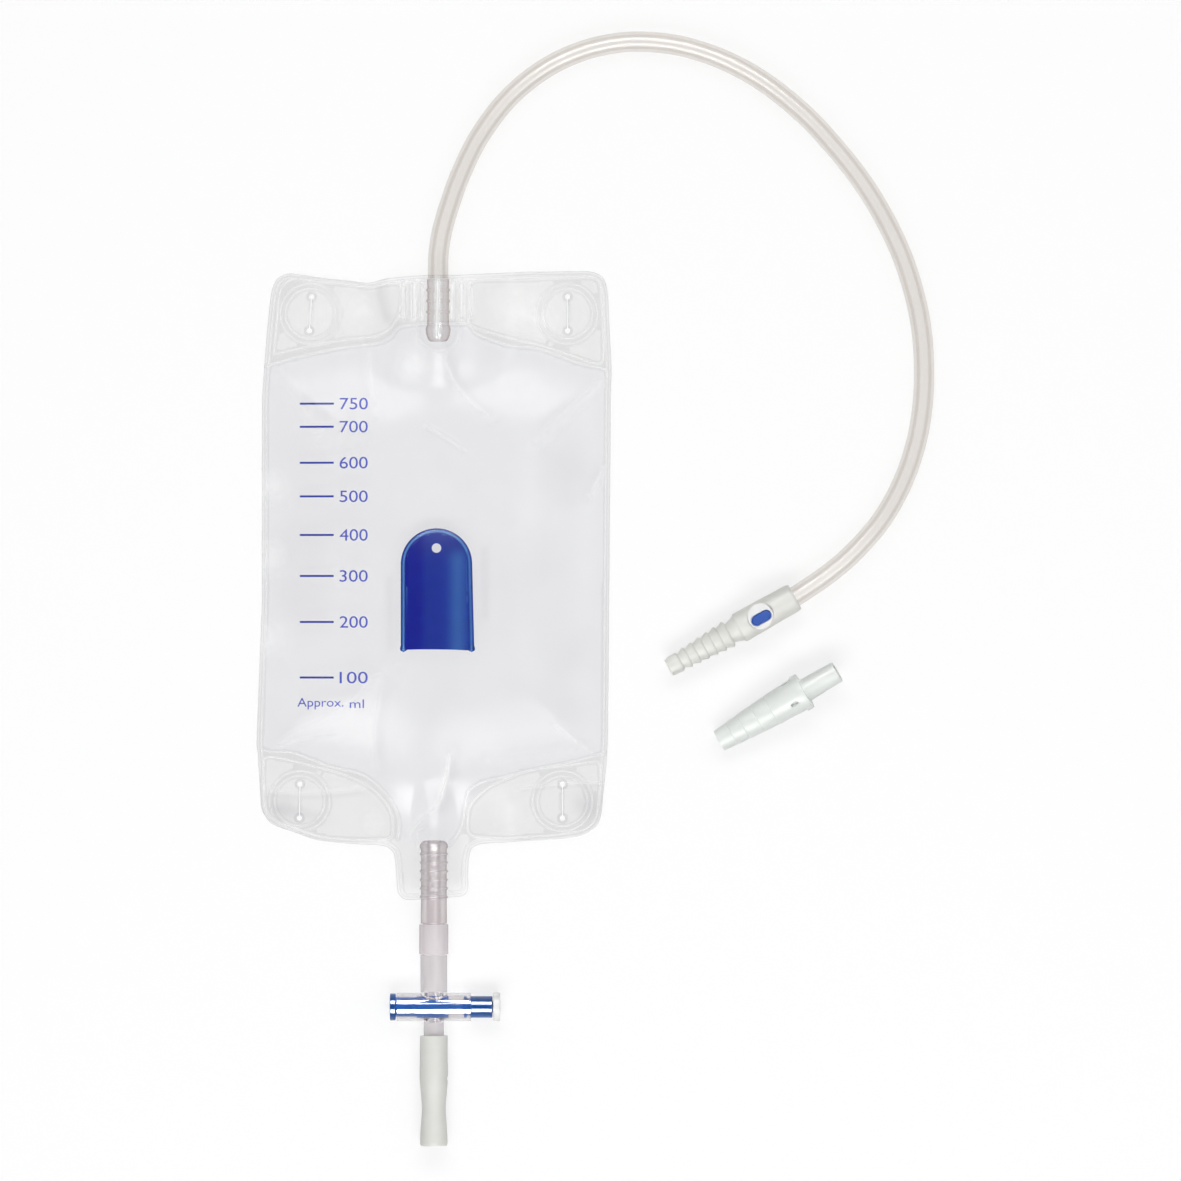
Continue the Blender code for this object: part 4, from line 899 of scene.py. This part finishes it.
def make_films(looks):
    lines, folds = film_lines(), film_folds()
    rows = [beside(path, offset * width) for path, _, width in lines for offset in (0, -1, 1, -2.2, 2.2)]
    for path, width, *_ in folds:
        rows += [beside(path[:-1], offset * min(width, 2.0)) for offset in (0, -0.5, 0.5, -1, 1, -1.6, 1.6)]
    loops = film_loops()
    flat, triangles = cut_sheet(loops, [(np.vstack(rows), 0.2), (port_rows(), 0.55), (grid(1.5), 1.1)])
    inner = film_height(flat, True)
    for path, height, width in lines:
        inner += height * np.exp(-(distance_to(flat, path, 4 * width) / width) ** 2)
    for path, width, *_ in folds[:len(FOLDS)]:
        inner += 0.05 * np.exp(-(distance_to(flat, path, 3 * width) / width) ** 2)
    shape = thick_sheet(flat, triangles, inner + film_thickness(flat, True), inner)
    front = piece("bag_front_film", shape, looks["film"], "clear_film", "front_film", sharp=60)
    mark_film(front, lines, folds)
    flat, triangles = cut_sheet(loops, [(port_rows(), 0.55), (grid(1.8), 1.4)])
    inner = film_height(flat, False)
    shape = thick_sheet(flat, triangles, inner, np.maximum(inner - film_thickness(flat, False), 0.0))
    back = piece("bag_back_film", shape, looks["film"], "clear_film", "back_film", sharp=60)
    mark_film(back, [], [])


# The measuring scale

def number_shape(text, x, y, width, height):
    """Flat shapes of a number, fitted to a width and a height, with its left end at x and its middle at y."""
    curve = bpy.data.curves.new("number", "FONT")
    curve.body = text
    obj = in_scene("number", curve)
    graph = bpy.context.evaluated_depsgraph_get()
    mesh = bpy.data.meshes.new_from_object(obj.evaluated_get(graph))
    points = points_of(mesh)
    faces = [tuple(p.vertices) for p in mesh.polygons]
    bpy.data.objects.remove(obj, do_unlink=True)
    low, high = points.min(axis=0), points.max(axis=0)
    points[:, 0] = x + (points[:, 0] - low[0]) / (high[0] - low[0]) * width
    points[:, 1] = y + ((points[:, 1] - low[1]) / (high[1] - low[1]) - 0.5) * height
    return points, faces


def on_film(shape):
    """A flat shape laid just over the front film."""
    points, faces = shape
    flat = points[:, :2]
    height = film_height(flat, True) + film_thickness(flat, True) + INK_LIFT
    return np.column_stack([flat, height]), faces


def make_scale(looks):
    left, right = SCALE_LINE_XS
    bars = []
    for y in SCALE_LINES.values():
        xs = np.linspace(left, right, 24)
        points = np.array([(x, y + side * SCALE_BAR_HALF, 0.0) for x in xs for side in (-1, 1)])
        faces = [(2 * k, 2 * k + 2, 2 * k + 3, 2 * k + 1) for k in range(len(xs) - 1)]
        bars.append((points, faces))
    piece("scale_lines", on_film(joined(*bars)), looks["ink_line"], "deep_blue")
    width, height = SCALE_NUMBER_SIZE
    numbers = [number_shape(text, SCALE_NUMBER_X, y, width, height) for text, y in SCALE_LINES.items()]
    for word, (x, *size) in SCALE_CAPTION.items():
        numbers.append(number_shape(word, x, SCALE_CAPTION_Y, *size))
    piece("scale_numbers", on_film(joined(*numbers)), looks["ink_number"], "deep_blue")


# The reflux valve

def make_valve(looks):
    """A flat tongue with a hole and a slightly crowned face, edged by a round bead that ends in two nubs."""
    middle, top, width, bead = 0.5, 12.0, 30.0, 1.15
    height, nub, flare = 5.2, 1.5, 0.9
    low = top - 52.0
    radius = width / 2 - bead
    arch = arc((middle, top - width / 2), radius, 180, 0, 40)
    legs = [(middle - radius, low), *arch, (middle + radius + flare, low)]
    path = resampled(legs, 0.7)
    lengths = np.r_[0, np.cumsum(np.linalg.norm(np.diff(path, axis=0), axis=1))]
    to_end = np.minimum(lengths, lengths[-1] - lengths)
    ball = np.sqrt(np.maximum(nub ** 2 - (to_end - nub) ** 2, 0))
    size = np.where(to_end < nub, ball, np.maximum(ball, bead))
    centres = np.column_stack([path, np.full(len(path), height)])
    sides = 20
    rope = (swept(centres, size, sides), ring_faces(len(path), sides))
    bottom = [
        (middle + radius + flare, low + 0.7), (middle + 6, low + 1.1), (middle - 6, low + 1.2),
        (middle - radius, low + 1.0),
    ]
    outline = resampled(arch + smooth_route(bottom, 1.0).tolist()[:-1], 1.0, closed=True)
    hole = np.array(arc((middle, top - 8.3), 2.0, 0, 345, 23))
    flat, triangles = cut_sheet([outline, hole], [(grid(1.2), 0.8)])
    across = (flat[:, 0] - middle) / radius
    crown = 0.35 * (1 - across ** 2)
    web = thick_sheet(flat, triangles, height + 0.25 + crown, np.full(len(flat), height - 0.5))
    shape = joined(rope, web)
    valve = piece("reflux_valve_moulding", shape, looks["valve"], "deep_blue", "reflux_valve", sharp=50)
    places = points_of(valve.data) / MM
    x, y, z = places.T
    # painted highlight along the bead's crest, weaker on its right leg; a painted sheen in a soft band down
    # the tongue's right; and a little painted light growing towards the right
    pale = np.exp(-(distance_to(places[:, :2], path, 2.0) / 0.4) ** 2) * (z > height)
    pale *= np.where(x > middle + radius - 1, 0.45, 0.8)
    pale += 0.26 * np.exp(-((x - middle - 9.0) / 3.6) ** 2) * smooth_step((top - 6 - y) / 8)
    pale += 0.06 * smooth_step((x - middle + 8.0) / 5.0)
    mark(valve, "pale", pale)


# Ports and sleeve

def ribs(first, pitch, count, low, high):
    """Profile points of round ribs, each a soft swell."""
    half = 0.9
    steps = np.linspace(-1, 1, 13)
    swell = [(half * step, mix(low, high, 0.5 + 0.5 * math.cos(math.pi * step))) for step in steps]
    return [(first + pitch * k + along, radius) for k in range(count) for along, radius in swell]


def nose(start, end, wide, narrow):
    """Profile points over a rounded end, wide at start and narrow at end: a quarter of an ellipse."""
    segments = 10
    angles = [math.pi / 2 * k / segments for k in range(segments + 1)]
    return [(mix(start, end, math.sin(a)), mix(narrow, wide, math.cos(a))) for a in angles]


def make_inlet_port(looks):
    length, radius, bore = INLET_OUTER_Y - INLET_INNER_Y, 4.6, 2.3
    profile = [(0.0, bore), *rounded([(0.0, 2.8), (0.0, radius), (2.0, radius)], 0.4)]
    profile += [*ribs(4.6, 4.6, 3, 4.5, 5.0), (19.1, radius)]
    profile += [*nose(20.6, length, INLET_FLARE_RADIUS, 2.9), (length, bore)]
    shape = placed(turned(profile), (INLET_X, INLET_OUTER_Y, INLET_Z), -math.pi / 2)
    port = piece("inlet_port_moulding", shape, looks["inlet"], "clear_moulding", "inlet_port")
    x, _, z = points_of(port.data).T / MM
    mark(port, "bore", np.hypot(x - INLET_X, z - INLET_Z) < 3.2)


def make_outlet_port(looks):
    length, stem_end, radius, nipple, bore = 40.7, 34.7, 5.5, 4.5, 2.8
    profile = [(0.0, bore), *reversed(nose(2.6, 0.0, OUTLET_FLARE_RADIUS, 3.4)), (3.6, radius)]
    profile += ribs(5.6, 3.6, 6, 5.4, 5.9)
    outer_end = [(30.0, radius), (stem_end, radius), (stem_end, nipple), (length, nipple), (length, bore)]
    profile += rounded(outer_end, 0.3)
    shape = placed(turned(profile), (OUTLET_X, OUTLET_INNER_Y, OUTLET_Z), -math.pi / 2)
    piece("outlet_port_moulding", shape, looks["port"], "clear_moulding", "outlet_port")


def make_sleeve(looks):
    length, radius, bore = 12.6, 6.1, 4.8
    outside = rounded([(0.0, bore), (0.0, radius), (length, radius), (length, bore)], 0.5)
    shape = placed(turned(outside), (OUTLET_X, SLEEVE_TOP_Y, OUTLET_Z), -math.pi / 2)
    piece("coupling_sleeve_moulding", shape, looks["sleeve"], "clear_moulding", "coupling_sleeve")


# The tap

def rod(name, start, end, radius, along_y=False):
    """A round bar. One along Y has rings just past the barrel, where the tap's frost starts."""
    rings = [(at, radius) for at in (-7.6, -6.4, 6.4, 7.6) if along_y and start + 1 < at < end - 1]
    side = [(start, radius - 0.4), (start, radius), *rings, (end, radius), (end, radius - 0.4)]
    profile = [(start, 0.0), *rounded(side, 0.35), (end, 0.0)]
    shape = placed(turned(profile, 96), (OUTLET_X, TAP_Y, OUTLET_Z), math.pi / 2 if along_y else 0.0)
    return new_object(name, shape)


def make_tap(looks):
    """One clear moulding: a barrel across, a spigot up to the sleeve and a spigot down into the tube."""
    half = BARREL_LENGTH / 2
    body = rod("tap_moulding", -half, half, BARREL_RADIUS)
    upper_end, lower_end, past = 27.8, -23.4, 2.0
    for name, start, end, radius in (
        ("upper_spigot", 0.0, 21.8, 5.6),
        ("upper_nipple", 1.0, upper_end, 4.5),
        ("lower_spigot", lower_end, 0.0, 4.2),
    ):
        combined(body, rod(name, start, end, radius, along_y=True), "UNION")
    combined(body, rod("barrel_bore", -half - past, half + past, BARREL_RADIUS - BARREL_WALL), "DIFFERENCE")
    flow_bore = rod("flow_bore", lower_end - past, upper_end + past, FLOW_BORE_RADIUS, along_y=True)
    combined(body, flow_bore, "DIFFERENCE")
    smoothed(body.data, 30)
    dressed(body, looks["tap"], "clear_moulding", "tap_body")
    from_axis = np.abs(points_of(body.data)[:, 1] / MM - TAP_Y)
    mark(body, "frost", smooth_step(from_axis - BARREL_RADIUS))


def make_plunger(looks):
    """The blue plunger with its cap, closing land, waist and seal, and the white button on its end."""
    end = BARREL_LENGTH / 2
    cap = -end - SEAT
    button = end + SEAT + PLUNGER_TRAVEL
    outline = [
        (cap - 2.5, 0.0), (cap - 2.5, 5.7), (cap, 5.7), (cap, 4.1), (-7.2, 4.1), (-7.2, PLUNGER_RADIUS),
        (6.2, PLUNGER_RADIUS), (6.2, 2.6), (12.5, 2.6), (12.5, PLUNGER_RADIUS), (13.8, PLUNGER_RADIUS),
        (13.8, 3.6), (15.1, 3.6), (15.1, PLUNGER_RADIUS), (button - SEAT, PLUNGER_RADIUS),
        (button - SEAT, 2.2), (button + 1.8, 2.2), (button + 1.8, 0.0),
    ]
    place = (OUTLET_X, TAP_Y, OUTLET_Z)
    shape = placed(turned(rounded(outline, 0.4)), place)
    piece("tap_plunger_moulding", shape, looks["plunger"], "tap_blue", "tap_plunger", body="plunger")
    cover = [(2.1, 0.0), (2.1, 2.5), (0.0, 2.5), (0.0, 6.0), (3.0, 6.0), (3.0, 0.0)]
    cover = [(button + along, radius) for along, radius in cover]
    shape = placed(turned(rounded(cover, 0.6)), place)
    piece("push_button_moulding", shape, looks["white"], "white", "push_button", body="plunger")


def make_outlet_tube(looks):
    """A short soft tube that bulges over the spigot's end, draws in at its waist and opens at its mouth."""
    length, radius, wall, top = 46.2, 5.8, 1.3, TAP_Y - 12.0
    bulge_at, waist_at, crease_at = 16.6, 30.5, 19.5
    outer, inner = [], []
    for along in np.linspace(0.0, length, 60):
        bulge = 0.2 * math.exp(-((along - bulge_at) / 5.5) ** 2)
        waist = 0.8 * math.exp(-((along - waist_at) / 7.9) ** 2)
        lip = 0.35 * math.exp(-((length - along) / 0.5) ** 2)
        outer.append((along, radius + (bulge - waist) - lip))
        inner.append((along, radius - wall + (bulge - waist) + lip * 0.6))
    points, faces = turned(outer + inner[::-1])
    # one slanting crease, on the right
    crease = np.exp(-((points[:, 0] - crease_at + 0.25 * points[:, 1]) / 0.7) ** 2)
    towards = np.clip(points[:, 1] / 6.0, 0, 1)
    points[:, 1:] *= (1 - 0.07 * crease * towards)[:, None]
    shape = placed((points, faces), (OUTLET_X, top, OUTLET_Z), -math.pi / 2)
    piece("outlet_tube_extrusion", shape, looks["milky"], "milky_tube", "outlet_tube")


# The inlet tube and its connector

def connector_point(along):
    """A point on the connector's axis, `along` millimetres from its tip."""
    x, y, z = CONNECTOR_TIP
    return (x + along * math.cos(CONNECTOR_TURN), y + along * math.sin(CONNECTOR_TURN), z)


def tube_route():
    port_face = INLET_OUTER_Y + SEAT
    leaves_bag = (INLET_X, port_face + 6.0, INLET_Z)
    loop = smooth_route([leaves_bag, *INLET_ROUTE, connector_point(CONNECTOR_LENGTH + 1.5)], 2.0)
    in_socket = connector_point(CONNECTOR_LENGTH - SOCKET_DEPTH + SEAT)
    return np.vstack([(INLET_X, port_face, INLET_Z), loop, in_socket])


def make_inlet_tube(looks, with_pieces):
    """The soft clear tube, from the inlet port to the connector."""
    path = tube_route()
    sides = 40
    outer = swept(path, np.full(len(path), TUBE_RADIUS), sides)
    inner = swept(path, np.full(len(path), TUBE_BORE_RADIUS), sides)
    inner = inner.reshape(len(path), sides, 3)[::-1].reshape(-1, 3)
    shape = np.vstack([outer, inner]), ring_faces(2 * len(path), sides, closed=True)
    tube = piece("inlet_tube_extrusion", shape, looks["tube"], "clear_tube", "inlet_tube")
    mark(tube, "bore", np.arange(len(tube.data.vertices)) >= len(outer))


def make_connector(looks):
    """The barbed body with its round sampling port, which faces up, and the blue seal in it."""
    bore, socket, radius, end = 2.5, 4.6, 6.5, CONNECTOR_LENGTH
    barbs, pitch = 7, 3.9
    outside = [(0.0, bore), (0.0, 3.5), (0.4, 3.9)]
    for k in range(barbs):
        at = 5.2 + pitch * k
        crest = mix(4.2, 5.9, k / (barbs - 1))
        outside += [(at - 0.15, crest + 0.1), (at + 0.1, crest), (at + 0.8, crest - 0.85)]
    outside += [(at + 0.8, 4.2), (33.3, 5.6), (34.2, radius), (end - 1.0, 6.1), (end, 5.6)]
    inside = [(end, socket), (end - SOCKET_DEPTH, socket), (end - SOCKET_DEPTH, bore)]
    body = turned(rounded(outside + inside, 0.12, 2))
    body = new_object("connector_moulding", placed(body, CONNECTOR_TIP, CONNECTOR_TURN))
    middle = connector_point(SAMPLE_PORT_AT)
    seat, top = CONNECTOR_TIP[2] + radius - 1.4, CONNECTOR_TIP[2] + radius + 1.2
    collar_radius, seal_length, seal_width = 5.5, 8.8, 4.2
    pocket_radius = collar_radius + SEAT
    pocket = [(seat, 0.0), (seat, pocket_radius), (top + 2, pocket_radius), (top + 2, 0.0)]
    combined(body, new_object("collar_pocket", standing(turned(pocket, 64), middle)), "DIFFERENCE")
    smoothed(body.data, 40)
    dressed(body, looks["body"], "pale_white", "connector_body")
    ring = np.array(arc((0, 0), collar_radius, 0, 356, 89))
    lean = np.array((0.0, -0.8))
    well = np.array(stadium(seal_length + SEAT, seal_width + SEAT)) + lean
    place = (*middle[:2], 0.0), CONNECTOR_TURN
    collar = placed(plate([ring, well], seat + SEAT, top, 0.5, (top - 1.2, well)), *place)
    collar = piece("sample_port_collar_moulding", collar, looks["white"], "white", "sample_port_collar")
    seal = plate([np.array(stadium(seal_length, seal_width)) + lean], top - 0.9, top + 0.4, 0.7)
    seal = placed(seal, *place)
    seal = piece("sample_port_septum_moulding", seal, looks["septum"], "septum_blue", "sample_port_septum")
    return [body, collar, seal]


def standing(shape, middle):
    """A shape turned about X stood up over a point."""
    points, faces = shape
    return np.column_stack([middle[0] + points[:, 1], middle[1] + points[:, 2], points[:, 0]]), faces


def plate(loops, low, high, edge, well=None):
    """A flat plate with rounded upper edges, and a well with a floor if it has one."""
    rows = [
        beside(loop, (-share if number else share) * edge, closed=True)
        for number, loop in enumerate(loops) for share in (0.15, 0.4, 0.7, 1.0)
    ]
    spaced = grid(0.8) * 0.25
    flat, triangles = cut_sheet(loops, [(np.vstack(rows), 0.06), (spaced, 0.2)])
    depth = np.full(len(flat), float(edge))
    for loop in loops:
        depth = np.minimum(depth, np.abs(distance_to(flat, looped(loop), edge)))
    drop = edge - np.sqrt(np.maximum(edge ** 2 - (edge - depth) ** 2, 0))
    body = thick_sheet(flat, triangles, high - drop, np.full(len(flat), low))
    if well is None:
        return body
    floor_height, loop = well
    flat, triangles = cut_sheet([beside(loop, -0.05, closed=True)], [(spaced, 0.4)])
    floor = thick_sheet(flat, triangles, np.full(len(flat), floor_height), np.full(len(flat), low))
    return joined(body, floor)


# The loose adapter

def make_adapter(looks):
    """It lies on its flange and its small end, so its axis slopes down towards the small end."""
    steps = [(0.0, ADAPTER_SMALL_RADIUS), (6.6, 5.4), (12.2, 5.9), (19.0, 6.4), (25.9, 6.9)]
    outside = []
    for (start, radius), (end, next_radius) in zip(steps, steps[1:]):
        outside += [(start + 0.15, radius), (end - 0.25, next_radius - 0.15), (end, next_radius - 0.6)]
    flange, spigot, length, bore = ADAPTER_FLANGE_AT, ADAPTER_FLANGE_AT + 3.0, 57.7, 3.4
    outside += [
        steps[-1], (flange, 7.4), (flange, ADAPTER_FLANGE_RADIUS), (spigot, ADAPTER_FLANGE_RADIUS),
        (spigot, 5.0), (length - 0.4, 4.6), (length, 4.2), (length, bore), (0.0, bore),
    ]
    slope = math.atan2(ADAPTER_FLANGE_RADIUS - ADAPTER_SMALL_RADIUS, flange)
    height = ADAPTER_SMALL_RADIUS / math.cos(slope) + 0.1
    place = (*ADAPTER_SMALL_END, height), ADAPTER_TURN, slope
    body = new_object("adapter_moulding", placed(turned(rounded(outside, 0.05, 2), 96), *place))
    # four windows round the cone, drawn as pockets with a floor
    window_at, window_floor, count = 35.8, 5.3, 4
    flat, triangles = cut_sheet([np.array(stadium(3.4, 1.9))], [])
    roof = np.full(len(flat), ADAPTER_FLANGE_RADIUS)
    points, faces = thick_sheet(flat, triangles, roof, np.full(len(flat), window_floor))
    x, y, z = points.T
    for k in range(count):
        angle = math.radians(21) + math.tau * k / count
        cosine, sine = math.cos(angle), math.sin(angle)
        window = np.column_stack([x + window_at, y * cosine - z * sine, y * sine + z * cosine]), faces
        combined(body, new_object("window", placed(window, *place)), "DIFFERENCE")
    smoothed(body.data, 25)
    dressed(body, looks["adapter"], "white", "spare_adapter")


# Floor, lamps, world and camera

def pale_floor():
    """A matt white sweep. It keeps the shadows, and adds a white of its own where it is seen."""
    material, tree = new_material("matt_white_sweep")
    ray = add(tree, "LightPath").outputs
    seen = add(tree, "Math", {0: ray["Is Camera Ray"], 1: ray["Is Glossy Ray"]}, operation="MAXIMUM")
    seen = add(tree, "Math", {0: seen, 1: ray["Is Transmission Ray"]}, operation="MAXIMUM")
    glow = add(tree, "Math", {0: seen, 1: 0.68}, operation="MULTIPLY")
    matt = add(tree, "BsdfDiffuse", {"Color": linear("#A0A0A0")})
    light = add(tree, "Emission", {"Color": linear("#FFFFFF"), "Strength": glow})
    show(tree, add(tree, "AddShader", {0: matt, 1: light}))
    return material


def make_floor():
    half, height = 6.0, -0.0002
    mesh = bpy.data.meshes.new("floor")
    corners = [(-half, -half, height), (half, -half, height), (half, half, height), (-half, half, height)]
    mesh.from_pydata(corners, [], [(0, 1, 2, 3)])
    mesh.materials.append(pale_floor())
    in_scene("floor", mesh)


def make_world():
    """A pale room: bright all round at the floor and dim overhead, where the camera is."""
    world = bpy.data.worlds.new("pale_room")
    world.use_nodes = True
    tree = world.node_tree
    tree.nodes.clear()
    direction = add(tree, "TexCoord").outputs["Generated"]
    height = add(tree, "SeparateXYZ", {"Vector": direction}).outputs["Z"]
    level = add(tree, "MapRange", {"Value": height, "From Max": 0.85, "To Min": 0.7, "To Max": 0.1}, **SMOOTH)
    light = add(tree, "Background", {"Color": linear("#FFFFFF"), "Strength": level})
    add(tree, "OutputWorld", {"Surface": light})
    bpy.context.scene.world = world


def make_softbox(name, tilt, turn, distance, length, width, level, mirrored_only=False):
    """A softbox over the middle of the picture, tilted from upright, at a brightness where 1 is white."""
    data = bpy.data.lights.new(name, "AREA")
    data.shape = "RECTANGLE"
    data.size = length
    data.size_y = width
    data.energy = level * math.pi * length * width
    lamp = in_scene(name, data)
    middle = Vector((PICTURE_MIDDLE[0] * MM, PICTURE_MIDDLE[1] * MM, 0.0))
    lamp.rotation_euler = (math.radians(tilt), 0.0, math.radians(turn))
    lamp.location = middle + lamp.rotation_euler.to_matrix() @ Vector((0.0, 0.0, distance))
    lamp.visible_diffuse = not mirrored_only
    lamp.visible_transmission = not mirrored_only


def make_lamps():
    make_softbox("front_softbox", 38, 0, 2.0, 1.8, 0.62, 5.9)
    make_softbox("rear_softbox", 38, 180, 2.0, 1.8, 0.62, 4.0)
    make_softbox("right_softbox", 50, 90, 2.0, 1.0, 0.4, 1.5)
    make_softbox("left_softbox", 50, -90, 2.0, 1.0, 0.4, 1.0)
    # large and bright, but only in reflections: they draw the white stripes along round plastic
    make_softbox("front_gleam", 39, 0, 1.9, 1.8, 1.15, 20.0, mirrored_only=True)
    make_softbox("rear_gleam", 39, 180, 1.9, 1.8, 1.15, 20.0, mirrored_only=True)
    make_softbox("right_gleam", 15, 90, 1.9, 1.2, 0.4, 5.0, mirrored_only=True)


def make_camera():
    """A long lens that looks straight down on the middle of the picture."""
    distance, sensor = 4.0, 36.0
    data = bpy.data.cameras.new("camera")
    data.sensor_width = sensor
    data.lens = sensor * distance / (PICTURE_SIDE * MM)
    data.clip_end = 30.0
    camera = in_scene("camera", data)
    camera.location = (PICTURE_MIDDLE[0] * MM, PICTURE_MIDDLE[1] * MM, distance)
    bpy.context.scene.camera = camera


def main():
    bpy.context.scene.view_settings.view_transform = "Standard"
    make_camera()
    looks = make_materials()
    make_inlet_tube(looks, make_connector(looks))
    make_films(looks)
    make_scale(looks)
    make_valve(looks)
    make_inlet_port(looks)
    make_outlet_port(looks)
    make_sleeve(looks)
    make_tap(looks)
    make_plunger(looks)
    make_outlet_tube(looks)
    make_adapter(looks)
    make_floor()
    make_world()
    make_lamps()


main()
